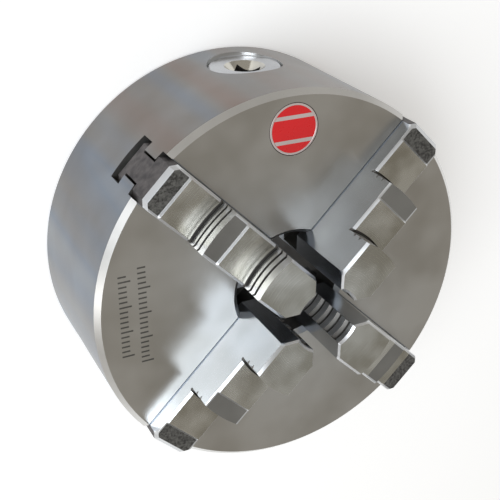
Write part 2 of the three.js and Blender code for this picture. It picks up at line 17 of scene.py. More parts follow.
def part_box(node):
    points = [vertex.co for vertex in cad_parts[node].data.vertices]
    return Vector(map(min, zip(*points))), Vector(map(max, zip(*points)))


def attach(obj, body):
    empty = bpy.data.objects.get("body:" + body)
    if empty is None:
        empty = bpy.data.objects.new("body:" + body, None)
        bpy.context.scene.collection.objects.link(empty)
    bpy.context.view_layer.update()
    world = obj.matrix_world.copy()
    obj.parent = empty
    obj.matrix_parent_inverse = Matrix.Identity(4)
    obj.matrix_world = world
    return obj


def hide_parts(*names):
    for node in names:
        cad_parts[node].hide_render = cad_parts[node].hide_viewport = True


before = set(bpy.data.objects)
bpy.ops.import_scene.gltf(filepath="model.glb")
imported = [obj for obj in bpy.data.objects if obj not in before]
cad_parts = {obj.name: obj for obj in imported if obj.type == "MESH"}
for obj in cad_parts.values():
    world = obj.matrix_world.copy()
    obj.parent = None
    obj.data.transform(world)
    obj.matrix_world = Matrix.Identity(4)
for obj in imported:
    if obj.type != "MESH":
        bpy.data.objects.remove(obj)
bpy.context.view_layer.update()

LOG = logging.getLogger("chuck")
MM = 0.001
ON_AXIS = 1e-5
WALL_MATCH = 0.2
BUMP_DEPTH = 0.00008
COVER_SCREWS = 6
COVER_SCREW_CIRCLE = 28.25
RETAINER_CIRCLE = 73.0
MOUNTING_CIRCLE = 71.0
MOUNTING_HOLES = 3
SPIGOT_HOLE = 6.2
HOLE_FACETS = 32
GROUND, RISER, LEDGE, OXIDE, CUT, SIDE, SKIN = range(7)
Point2 = tuple[float, float]
Point3 = tuple[float, float, float]
ProfilePoint = tuple[float, float, int]


class Finish(Enum):
    """The surface finishes that the chuck's pieces wear."""

    FACE = "ground_face"
    TURNED = "turned_side"
    MILLED = "milled_slot"
    # Painted highlight: chamfers and pinion bores wear steel much paler than the turned side.
    BEVEL = "painted_highlight_bevel"
    JAW_GROUND = "jaw_ground"
    JAW_SIDE = "jaw_side"
    JAW_RISER = "jaw_riser"
    JAW_LEDGE = "jaw_unground_ledge"
    JAW_OXIDE = "jaw_oxide_end"
    JAW_SKIN = "jaw_speckled_skin"
    PINION_END = "ground_pinion_end"
    POLISHED = "polished_pinion"
    # Painted shade: the inside of each pinion's square socket is near-black.
    SOCKET = "painted_shade_socket"
    SCROLL = "scroll_steel"
    COVER = "cover_iron"
    BLACK = "black_oxide"
    ENAMEL = "badge_enamel"
    BADGE_METAL = "badge_metal"
    ETCH = "etched_mark"


# ---------------------------------------------------------------------------------------------
# Shader node groups
# ---------------------------------------------------------------------------------------------


def group_with(name: str, inputs: dict[str, str], outputs: dict[str, str]) -> bpy.types.NodeTree:
    """Make an empty shader group.

    Args:
        name: The group's name.
        inputs: Input socket names and their socket types.
        outputs: Output socket names and their socket types.

    Returns:
        The group, with its input and output nodes.
    """
    group = bpy.data.node_groups.new(name, "ShaderNodeTree")
    for label, kind in inputs.items():
        group.interface.new_socket(label, in_out="INPUT", socket_type=kind)
    for label, kind in outputs.items():
        group.interface.new_socket(label, in_out="OUTPUT", socket_type=kind)
    group.nodes.new("NodeGroupInput").name = "in"
    group.nodes.new("NodeGroupOutput").name = "out"
    return group


def add_node(
    tree: bpy.types.NodeTree, kind: str, operation: str = "", values: dict[str | int, object] | None = None
) -> bpy.types.Node:
    """Add a node to a tree.

    Args:
        tree: The tree.
        kind: The node's type.
        operation: Its operation, where it has one.
        values: The constants on its input sockets.

    Returns:
        The new node.
    """
    node = tree.nodes.new(kind)
    if operation:
        node.operation = operation
    for socket, value in (values or {}).items():
        node.inputs[socket].default_value = value
    return node


def wire(tree: bpy.types.NodeTree, *wires: tuple[bpy.types.Node, str, bpy.types.Node, str | int]) -> None:
    """Join nodes.

    Args:
        tree: The tree that holds them.
        wires: For each link, a node, its output, the next node and its input.
    """
    for source, output, target, socket in wires:
        tree.links.new(source.outputs[output], target.inputs[socket])


def grain_group() -> bpy.types.NodeTree:
    """Directional grain: fine scratches stretched along one axis, and slow smudges.

    Returns:
        A group with Height and Smudge outputs.
    """
    tree = group_with(
        "directional_grain",
        {
            "Vector": "NodeSocketVector",
            "Stretch": "NodeSocketVector",
            "Scale": "NodeSocketFloat",
            "Smudge Scale": "NodeSocketFloat",
        },
        {"Height": "NodeSocketFloat", "Smudge": "NodeSocketFloat"},
    )
    given, result = tree.nodes["in"], tree.nodes["out"]
    scaled = add_node(tree, "ShaderNodeVectorMath", "MULTIPLY")
    fine = add_node(tree, "ShaderNodeTexNoise", values={"Detail": 4.0, "Roughness": 0.65})
    smudge = add_node(tree, "ShaderNodeTexNoise", values={"Detail": 3.0})
    wire(
        tree,
        (given, "Vector", scaled, 0),
        (given, "Stretch", scaled, 1),
        (scaled, "Vector", fine, "Vector"),
        (given, "Scale", fine, "Scale"),
        (given, "Vector", smudge, "Vector"),
        (given, "Smudge Scale", smudge, "Scale"),
        (fine, "Fac", result, "Height"),
        (smudge, "Fac", result, "Smudge"),
    )
    return tree


def rings_group() -> bpy.types.NodeTree:
    """Turning marks: fine rings about the chuck's axis that vary with radius and height only.

    Returns:
        A group with a Height output and a Tone output.
    """
    tree = group_with(
        "turning_rings",
        {"Vector": "NodeSocketVector", "Scale": "NodeSocketFloat", "Smudge Scale": "NodeSocketFloat"},
        {"Height": "NodeSocketFloat", "Tone": "NodeSocketFloat"},
    )
    given, result = tree.nodes["in"], tree.nodes["out"]
    split = add_node(tree, "ShaderNodeSeparateXYZ")
    flat = add_node(tree, "ShaderNodeCombineXYZ")
    length = add_node(tree, "ShaderNodeVectorMath", "LENGTH")
    ring = add_node(tree, "ShaderNodeCombineXYZ")
    noise = add_node(tree, "ShaderNodeTexNoise", values={"Detail": 3.0})
    tone = add_node(tree, "ShaderNodeTexNoise", values={"Detail": 2.0})
    wire(
        tree,
        (given, "Vector", split, 0),
        (split, "X", flat, "X"),
        (split, "Y", flat, "Y"),
        (flat, "Vector", length, 0),
        (length, "Value", ring, "X"),
        (split, "Z", ring, "Z"),
        (ring, "Vector", noise, "Vector"),
        (given, "Scale", noise, "Scale"),
        (given, "Vector", tone, "Vector"),
        (given, "Smudge Scale", tone, "Scale"),
        (noise, "Fac", result, "Height"),
        (tone, "Fac", result, "Tone"),
    )
    return tree


def painted_reflection_group() -> bpy.types.NodeTree:
    """Painted reflections: warm, cool and pale tint bands round the turned side that vary with azimuth.

    Returns:
        A group with a Color output that multiplies a base colour.
    """
    tree = group_with("axial_streaks", {"Vector": "NodeSocketVector"}, {"Color": "NodeSocketColor"})
    flatten = add_node(tree, "ShaderNodeVectorMath", "MULTIPLY", {1: (1.0, 1.0, 0.06)})
    broad = add_node(tree, "ShaderNodeTexNoise", values={"Scale": 26.0, "Detail": 2.0, "Roughness": 0.55})
    # Painted reflection: the stops tint the base colour warm, pale (above one, so lighter) and cool, in bands
    # round the axis.
    ramp = add_node(tree, "ShaderNodeValToRGB")
    stops = ramp.color_ramp.elements
    stops[0].position, stops[0].color = 0.34, (0.95, 0.68, 0.56, 1.0)
    stops[1].position, stops[1].color = 0.66, (1.3, 1.3, 1.24, 1.0)
    for place, tint in ((0.45, (0.92, 0.9, 0.86, 1.0)), (0.54, (0.78, 0.9, 1.06, 1.0))):
        stops.new(place).color = tint
    wire(
        tree,
        (tree.nodes["in"], "Vector", flatten, 0),
        (flatten, "Vector", broad, "Vector"),
        (broad, "Fac", ramp, "Fac"),
        (ramp, "Color", tree.nodes["out"], "Color"),
    )
    return tree


@dataclass(frozen=True)
class Metal:
    """One metal finish: two tones mixed by smudges, painted reflection bands where set, scratches in the
    roughness, grain in the bump.
    """

    name: str
    tone: Point3
    other_tone: Point3
    roughness: float
    spread: float
    stretch: Point3 = (1.0, 1.0, 1.0)
    scale: float = 900.0
    bump: float = 0.08
    rings: bool = False
    # Painted reflection bands multiplied into the colour.
    streaks: bool = False
    smudge: float = 38.0
    metallic: float = 1.0
    coat: float = 0.0

    def build(self, groups: dict[str, bpy.types.NodeTree]) -> bpy.types.Material:
        """Make the material.

        Args:
            groups: The shared node groups, by name.

        Returns:
            The material.
        """
        material = bpy.data.materials.new(self.name)
        material.use_nodes = True
        tree = material.node_tree
        shader = tree.nodes["Principled BSDF"]
        place = add_node(tree, "ShaderNodeTexCoord")
        grain = add_node(tree, "ShaderNodeGroup")
        grain.node_tree = groups["grain"]
        grain.inputs["Stretch"].default_value = self.stretch
        grain.inputs["Scale"].default_value = self.scale
        grain.inputs["Smudge Scale"].default_value = self.smudge
        wire(tree, (place, "Object", grain, "Vector"))
        height, mask = (grain, "Height"), (grain, "Smudge")
        if self.rings:
            rings = add_node(tree, "ShaderNodeGroup")
            rings.node_tree = groups["rings"]
            rings.inputs["Scale"].default_value = self.scale
            rings.inputs["Smudge Scale"].default_value = self.smudge
            grained = add_node(tree, "ShaderNodeMath", "ADD")
            wire(
                tree,
                (place, "Object", rings, "Vector"),
                (rings, "Height", grained, 0),
                (grain, "Height", grained, 1),
            )
            height, mask = (grained, "Value"), (rings, "Tone")
        ramp = add_node(tree, "ShaderNodeMapRange", values={"From Min": 0.35, "From Max": 0.65})
        colour = add_node(tree, "ShaderNodeMix")
        colour.data_type = "RGBA"
        colour.inputs["A"].default_value = (*self.tone, 1.0)
        colour.inputs["B"].default_value = (*self.other_tone, 1.0)
        wire(tree, (*mask, ramp, "Value"), (ramp, "Result", colour, "Factor"))
        # Painted reflection: the colour is multiplied by warm, pale and cool bands.
        if self.streaks:
            streaks = add_node(tree, "ShaderNodeGroup")
            streaks.node_tree = groups["streaks"]
            blend = add_node(tree, "ShaderNodeMix")
            blend.data_type = "RGBA"
            blend.blend_type = "MULTIPLY"
            blend.inputs["Factor"].default_value = 1.0
            wire(
                tree,
                (place, "Object", streaks, "Vector"),
                (colour, "Result", blend, "A"),
                (streaks, "Color", blend, "B"),
            )
            colour = blend
        reach = {
            "To Min": self.roughness - self.spread,
            "To Max": self.roughness + self.spread,
            "From Max": 2.0 if self.rings else 1.0,
        }
        rough = add_node(tree, "ShaderNodeMapRange", values=reach)
        bump = add_node(tree, "ShaderNodeBump", values={"Strength": self.bump, "Distance": BUMP_DEPTH})
        wire(
            tree,
            (colour, "Result", shader, "Base Color"),
            (*height, rough, "Value"),
            (rough, "Result", shader, "Roughness"),
            (*height, bump, "Height"),
            (bump, "Normal", shader, "Normal"),
        )
        shader.inputs["Metallic"].default_value = self.metallic
        shader.inputs["Coat Weight"].default_value = self.coat
        return material


METALS: dict[Finish, Metal] = {
    Finish.FACE: Metal(
        "ground_face_steel", (0.54, 0.525, 0.49), (0.42, 0.4, 0.36), 0.31, 0.06,
        scale=2600.0, bump=0.12, rings=True,
    ),
    # The turned side carries painted reflection bands in its colour.
    Finish.TURNED: Metal(
        "turned_side_steel", (0.235, 0.235, 0.24), (0.2, 0.19, 0.185), 0.3, 0.07,
        scale=3000.0, bump=0.1, rings=True, streaks=True,
    ),
    Finish.MILLED: Metal(
        "milled_slot_steel", (0.2, 0.195, 0.185), (0.12, 0.115, 0.11), 0.5, 0.1, scale=1200.0, bump=0.15
    ),
    # Painted highlight: steel over three times paler than the turned side, for the face's chamfers and the
    # pinion bore walls.
    Finish.BEVEL: Metal(
        "bevel_steel_with_painted_highlight", (0.78, 0.78, 0.77), (0.68, 0.68, 0.67), 0.3, 0.06, scale=2400.0, bump=0.05
    ),
    Finish.JAW_SIDE: Metal(
        "ground_jaw_side_steel", (0.6, 0.64, 0.7), (0.5, 0.54, 0.6), 0.2, 0.07,
        stretch=(1.0, 1.0, 0.2), scale=3200.0, bump=0.05,
    ),
    Finish.JAW_GROUND: Metal(
        "ground_jaw_steel", (0.56, 0.545, 0.49), (0.35, 0.33, 0.275), 0.26, 0.1,
        scale=3600.0, bump=0.07, rings=True, smudge=70.0,
    ),
    Finish.JAW_RISER: Metal(
        "ground_riser_steel", (0.8, 0.82, 0.84), (0.68, 0.7, 0.73), 0.34, 0.08,
        stretch=(1.0, 1.0, 0.15), scale=3000.0, bump=0.05,
    ),
    Finish.JAW_LEDGE: Metal(
        "unground_ledge_steel", (0.27, 0.265, 0.25), (0.2, 0.197, 0.185), 0.45, 0.1,
        scale=1600.0, bump=0.3, metallic=0.75,
    ),
    Finish.JAW_OXIDE: Metal(
        "mottled_oxide_steel", (0.11, 0.1, 0.1), (0.05, 0.046, 0.048), 0.5, 0.14,
        scale=800.0, bump=0.5, metallic=0.7, smudge=260.0,
    ),
    Finish.JAW_SKIN: Metal(
        "speckled_skin_steel", (0.2, 0.2, 0.19), (0.07, 0.068, 0.066), 0.45, 0.15,
        scale=1700.0, bump=0.6, metallic=0.8, smudge=1100.0,
    ),
    Finish.PINION_END: Metal(
        "ground_pinion_end_steel", (0.5, 0.51, 0.53), (0.4, 0.41, 0.43), 0.24, 0.06, scale=2600.0, bump=0.05
    ),
    Finish.POLISHED: Metal(
        "polished_pinion_steel", (0.62, 0.6, 0.54), (0.18, 0.19, 0.21), 0.13, 0.05, scale=900.0, bump=0.02,
        smudge=70.0,
    ),
    # Painted shade: near-black steel for the walls and floor of the pinions' square sockets.
    Finish.SOCKET: Metal(
        "socket_steel_with_painted_shade", (0.05, 0.045, 0.042), (0.03, 0.028, 0.026), 0.5, 0.1, metallic=0.6
    ),
    Finish.SCROLL: Metal(
        "scroll_plate_steel", (0.3, 0.3, 0.31), (0.22, 0.22, 0.23), 0.4, 0.1,
        scale=2000.0, bump=0.1, rings=True,
    ),
    Finish.COVER: Metal(
        "turned_cover_iron", (0.42, 0.41, 0.39), (0.35, 0.34, 0.325), 0.4, 0.08,
        scale=2200.0, bump=0.09, rings=True,
    ),
    Finish.BLACK: Metal(
        "black_oxide_screw", (0.05, 0.05, 0.05), (0.03, 0.03, 0.032), 0.42, 0.1, metallic=0.5
    ),
    Finish.ENAMEL: Metal(
        "red_badge_enamel", (0.72, 0.008, 0.012), (0.66, 0.007, 0.01), 0.28, 0.04,
        scale=300.0, bump=0.02, metallic=0.0, coat=0.35,
    ),
    Finish.BADGE_METAL: Metal(
        "pale_badge_rim", (0.72, 0.62, 0.6), (0.62, 0.52, 0.5), 0.35, 0.06, bump=0.03, metallic=0.5
    ),
    Finish.ETCH: Metal(
        "etched_mark_steel", (0.1, 0.095, 0.085), (0.06, 0.058, 0.052), 0.6, 0.1, metallic=0.4
    ),
}


class Palette:
    """Builds each finish once and dresses objects with them."""

    def __init__(self) -> None:
        """Make the shared groups and every material."""
        groups = {"grain": grain_group(), "rings": rings_group(), "streaks": painted_reflection_group()}
        self.materials = {finish: metal.build(groups) for finish, metal in METALS.items()}

    def dress(self, piece: bpy.types.Object, *finishes: Finish) -> None:
        """Give a piece its material slots, in order.

        Args:
            piece: The piece to dress.
            finishes: One finish for each slot.
        """
        slots = piece.data.materials
        for place, finish in enumerate(finishes):
            if place < len(slots):
                slots[place] = self.materials[finish]
            else:
                slots.append(self.materials[finish])


# ---------------------------------------------------------------------------------------------
# Mesh making
# ---------------------------------------------------------------------------------------------


def object_from(name: str, mesh: bmesh.types.BMesh) -> bpy.types.Object:
    """Write a millimetre bmesh to an object in metres, with merged points and outward faces.

    Args:
        name: The object's name.
        mesh: The shape, which is freed.

    Returns:
        The new object.
    """
    bmesh.ops.remove_doubles(mesh, verts=mesh.verts, dist=1e-4)
    bmesh.ops.recalc_face_normals(mesh, faces=mesh.faces)
    bmesh.ops.scale(mesh, vec=(MM, MM, MM), verts=mesh.verts)
    data = bpy.data.meshes.new(name)
    mesh.to_mesh(data)
    mesh.free()
    made = bpy.data.objects.new(name, data)
    bpy.context.scene.collection.objects.link(made)
    return made


def add_loft(
    mesh: bmesh.types.BMesh, sections: list[list[Point3]], closed: bool, finish: int = 0
) -> None:
    """Join equal closed sections with quads.

    Args:
        mesh: Where the faces go.
        sections: Rings of points, all the same length.
        closed: Whether the last section joins the first; otherwise both ends are capped.
        finish: The material index of the new faces.
    """
    rings = [[mesh.verts.new(point) for point in section] for section in sections]
    pairs = list(zip(rings, rings[1:] + rings[:1])) if closed else list(zip(rings, rings[1:]))
    faces = []
    for first, second in pairs:
        for i in range(len(first)):
            j = (i + 1) % len(first)
            faces.append(mesh.faces.new((first[i], first[j], second[j], second[i])))
    if not closed:
        faces.append(mesh.faces.new(rings[0][::-1]))
        faces.append(mesh.faces.new(rings[-1]))
    for face in faces:
        face.material_index = finish


def add_lathe(
    mesh: bmesh.types.BMesh, outline: list[Point2], facets: int, turn: Matrix | None = None
) -> None:
    """Turn a closed [radius, height] outline about Z.

    Args:
        mesh: Where the faces go.
        outline: The outline; points on the axis are kept a hair off it and merge there.
        facets: How many facets go round.
        turn: A matrix for the points, or None.
    """
    matrix = turn or Matrix.Identity(4)
    sections = []
    for step in range(facets):
        angle = 2 * math.pi * step / facets
        ring = [Vector((r * math.cos(angle), r * math.sin(angle), z)) for r, z in outline]
        sections.append([tuple(matrix @ point) for point in ring])
    add_loft(mesh, sections, closed=True)


def add_prism(
    mesh: bmesh.types.BMesh, outline: list[Point2], low: float, high: float, turn: Matrix, finish: int = 0
) -> None:
    """Extrude an outline along its own Z, then place it.

    Args:
        mesh: Where the faces go.
        outline: The section's points.
        low: Where the extrusion starts.
        high: Where it ends.
        turn: The matrix that places it.
        finish: The material index of the new faces.
    """
    sections = [[tuple(turn @ Vector((x, y, z))) for x, y in outline] for z in (low, high)]
    add_loft(mesh, sections, closed=False, finish=finish)


def circle(radius: float, facets: int) -> list[Point2]:
    """The points of a circle about the origin.

    Args:
        radius: Its radius.
        facets: How many points go round.

    Returns:
        The points, anticlockwise from +X.
    """
    angles = [2 * math.pi * i / facets for i in range(facets)]
    return [(radius * math.cos(a), radius * math.sin(a)) for a in angles]


def upright(radius: float, azimuth: float) -> Matrix:
    """A place at a radius and azimuth, its Z upwards.

    Args:
        radius: Distance from the chuck's axis.
        azimuth: Angle from +X, in radians.

    Returns:
        The matrix of that place.
    """
    return Matrix.Rotation(azimuth, 4, "Z") @ Matrix.Translation((radius, 0, 0))


def outward(azimuth: float, height: float = 0.0) -> Matrix:
    """A frame whose X is tangential, Y is up and Z is outwards at an azimuth.

    Args:
        azimuth: Angle from +X, in radians.
        height: Height of its origin.

    Returns:
        The matrix of that frame.
    """
    basis = Matrix(((0, 0, 1, 0), (1, 0, 0, 0), (0, 1, 0, 0), (0, 0, 0, 1)))
    return Matrix.Rotation(azimuth, 4, "Z") @ Matrix.Translation((0, 0, height)) @ basis


def cut(target: bpy.types.Object, cutter: bpy.types.Object) -> None:
    """Take a cutter's shape out of a piece and delete the cutter.

    Args:
        target: The piece, whose mesh is replaced by the result.
        cutter: The shape to take out.
    """
    step = target.modifiers.new("cut", "BOOLEAN")
    step.operation = "DIFFERENCE"
    step.solver = "EXACT"
    step.object = cutter
    graph = bpy.context.evaluated_depsgraph_get()
    result = bpy.data.meshes.new_from_object(target.evaluated_get(graph))
    target.modifiers.clear()
    target.data = result
    bpy.data.objects.remove(cutter)


def finish_edges(piece: bpy.types.Object, width: float, angle: float = 32.0, segments: int = 2) -> None:
    """Smooth the curved faces and round the sharp edges.

    Args:
        piece: The piece.
        width: The rounding's width, in millimetres.
        angle: Edges sharper than this many degrees are rounded.
        segments: Facets across each rounding.
    """
    data = piece.data
    data.polygons.foreach_set("use_smooth", [True] * len(data.polygons))
    data.set_sharp_from_angle(angle=math.radians(angle))
    bevel = piece.modifiers.new("edge_break", "BEVEL")
    bevel.width = width * MM
    bevel.segments = segments
    bevel.limit_method = "ANGLE"
    bevel.angle_limit = math.radians(angle)
    bevel.use_clamp_overlap = True
    bevel.harden_normals = True


# ---------------------------------------------------------------------------------------------
# Sub-assemblies
# ---------------------------------------------------------------------------------------------


@dataclass
class Layout:
    """Places that several sub-assemblies share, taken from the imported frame."""

    body_radius: float = field(init=False)
    body_height: float = field(init=False)
    pinion_height: float = field(init=False)
    pinion_radius: float = field(init=False)
    pinion_outer: float = field(init=False)
    jaw_azimuths: list[float] = field(init=False)
    pinion_azimuths: list[float] = field(init=False)

    def __post_init__(self) -> None:
        """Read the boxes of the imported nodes."""
        low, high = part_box("chuck_body")
        self.body_radius = high.x / MM
        self.body_height = high.z / MM
        low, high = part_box("pinion_1")
        self.pinion_height = (low.z + high.z) / 2 / MM
        self.pinion_radius = (high.z - low.z) / 2 / MM
        self.pinion_outer = high.y / MM
        self.jaw_azimuths = [math.pi / 4 + i * math.pi / 2 for i in range(4)]
        self.pinion_azimuths = [math.pi / 2 + i * 2 * math.pi / 3 for i in range(3)]


@dataclass
class ChuckBody:
    """The turned body with its jaw slots, pinion bores, screw holes and badge pocket."""

    layout: Layout
    palette: Palette
    bore_radius: float = 22.5
    bore_chamfer: float = 2.0
    hub_radius: float = 34.0
    cavity_radius: float = 65.0
    ceiling: float = 45.1
    hub_end: float = 10.1
    front_chamfer: float = 2.1
    rear_chamfer: float = 1.0
    slot_half: float = 9.7
    slot_depth: float = 23.6
    tongue_half: float = 5.8
    tongue_depth: float = 5.3
    tongue_height: float = 10.4
    edge_break: float = 0.35
    pinion_clearance: float = 0.22
    badge_radius: float = 9.9
    badge_place: float = 65.3
    facets: int = 240
    slot_inner: float = 14.0
    pinion_bore_inner: float = 58.0
    overcut: float = 3.0
    spigot_reach: Point2 = (26.8, 36.0)
    retaining_hole: Point2 = (3.15, 9.8)
    mounting_hole: Point2 = (3.4, 16.0)
    cover_hole: Point3 = (2.65, 9.0, 22.0)

    def blank(self) -> bpy.types.Object:
        """Make the turned blank.

        Returns:
            The blank, as an object.
        """
        radius, height = self.layout.body_radius, self.layout.body_height
        mesh = bmesh.new()
        outline = [
            (self.bore_radius, self.hub_end),
            (self.hub_radius, self.hub_end),
            (self.hub_radius, self.ceiling),
            (self.cavity_radius, self.ceiling),
            (self.cavity_radius, 0.0),
            (radius - self.rear_chamfer, 0.0),
            (radius, self.rear_chamfer),
            (radius, height - self.front_chamfer),
            (radius - self.front_chamfer, height),
            (self.bore_radius + self.bore_chamfer, height),
            (self.bore_radius, height - self.bore_chamfer),
        ]
        add_lathe(mesh, outline, self.facets)
        return object_from("chuck_body_turned", mesh)

    def slot_section(self) -> list[Point2]:
        """The section of one jaw slot, as (across, height) points.

        Returns:
            The closed section.
        """
        height = self.layout.body_height
        floor = height - self.slot_depth
        mouth = self.slot_half + self.edge_break
        top = height - self.tongue_depth
        low = top - self.tongue_height
        half = [
            (self.slot_half, floor),
            (self.slot_half, low),
            (self.tongue_half, low),
            (self.tongue_half, top),
            (self.slot_half, top),
            (self.slot_half, height - self.edge_break),
            (mouth, height),
            (mouth, height + 1),
        ]
        return half + [(-x, z) for x, z in reversed(half)]

    def big_cuts(self) -> bpy.types.Object:
        """The jaw slots and pinion bores, as one cutter.

        Returns:
            The cutter.
        """
        mesh = bmesh.new()
        layout = self.layout
        end = layout.body_radius + self.overcut
        for azimuth in layout.jaw_azimuths:
            add_prism(mesh, self.slot_section(), self.slot_inner, end, outward(azimuth))
        bore = layout.pinion_radius + self.pinion_clearance
        for azimuth in layout.pinion_azimuths:
            place = outward(azimuth, layout.pinion_height)
            add_prism(mesh, circle(bore, 96), self.pinion_bore_inner, end, place)
        return object_from("big_cuts", mesh)

    def small_cuts(self) -> bpy.types.Object:
        """The spigot, retaining screw, cover screw and mounting holes and the badge pocket.

        Returns:
            All of them, as one cutter.
        """
        mesh = bmesh.new()
        layout = self.layout
        for azimuth in layout.pinion_azimuths:
            place = outward(azimuth, layout.pinion_height)
            add_prism(mesh, circle(SPIGOT_HOLE, HOLE_FACETS), *self.spigot_reach, place)
            radius, deep = self.retaining_hole
            add_prism(mesh, circle(radius, HOLE_FACETS), -1.0, deep, upright(RETAINER_CIRCLE, azimuth))
        radius, deep = self.mounting_hole
        for i in range(MOUNTING_HOLES):
            spot = upright(MOUNTING_CIRCLE, math.pi / 6 + i * 2 * math.pi / 3)
            add_prism(mesh, circle(radius, HOLE_FACETS), -1.0, deep, spot)
        radius, low, high = self.cover_hole
        for i in range(COVER_SCREWS):
            add_prism(mesh, circle(radius, 24), low, high, upright(COVER_SCREW_CIRCLE, i * math.pi / 3))
        height = layout.body_height
        pocket = upright(self.badge_place, math.pi / 2)
        add_prism(mesh, circle(self.badge_radius + 0.3, 72), height - 0.6, height + 1, pocket)
        return object_from("small_cuts", mesh)

    def in_pinion_bore(self, point: Vector) -> bool:
        """Whether a point in metres lies on the wall of a pinion's bore.

        Args:
            point: The point, in metres.

        Returns:
            True on the wall, outside the scroll cavity.
        """
        bore = self.layout.pinion_radius + self.pinion_clearance
        for azimuth in self.layout.pinion_azimuths:
            axis = Vector((math.cos(azimuth), math.sin(azimuth), 0.0))
            offset = point / MM - Vector((0.0, 0.0, self.layout.pinion_height))
            along = offset.dot(axis)
            if along > self.cavity_radius and abs((offset - axis * along).length - bore) < WALL_MATCH:
                return True
        return False

    def build(self) -> bpy.types.Object:
        """Make, cut and dress the body.

        Returns:
            The finished piece.
        """
        piece = self.blank()
        cut(piece, self.big_cuts())
        cut(piece, self.small_cuts())
        self.palette.dress(piece, Finish.FACE, Finish.TURNED, Finish.MILLED, Finish.BEVEL)
        height = self.layout.body_height * MM
        rim = (self.layout.body_radius - self.front_chamfer - 0.5) * MM
        # Slot 3 is the painted highlight: the pinion bore walls and the up-facing chamfers round the face get
        # steel much paler than the turned side.
        flat, turned, milled, painted_highlight_slot = range(4)
        for face in piece.data.polygons:
            middle = face.center
            across = math.hypot(middle.x, middle.y)
            if self.in_pinion_bore(middle):
                face.material_index = painted_highlight_slot
            elif face.normal.z > 0.99 and middle.z > height - 0.0001:
                face.material_index = flat
            elif 0.5 < face.normal.z < 0.9 and middle.z > height - 0.0022:
                face.material_index = painted_highlight_slot
            elif across > rim or middle.z < 0.0001:
                face.material_index = turned
            else:
                face.material_index = milled
        finish_edges(piece, 0.22)
        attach(piece, "chuck")
        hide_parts("chuck_body")
        return piece


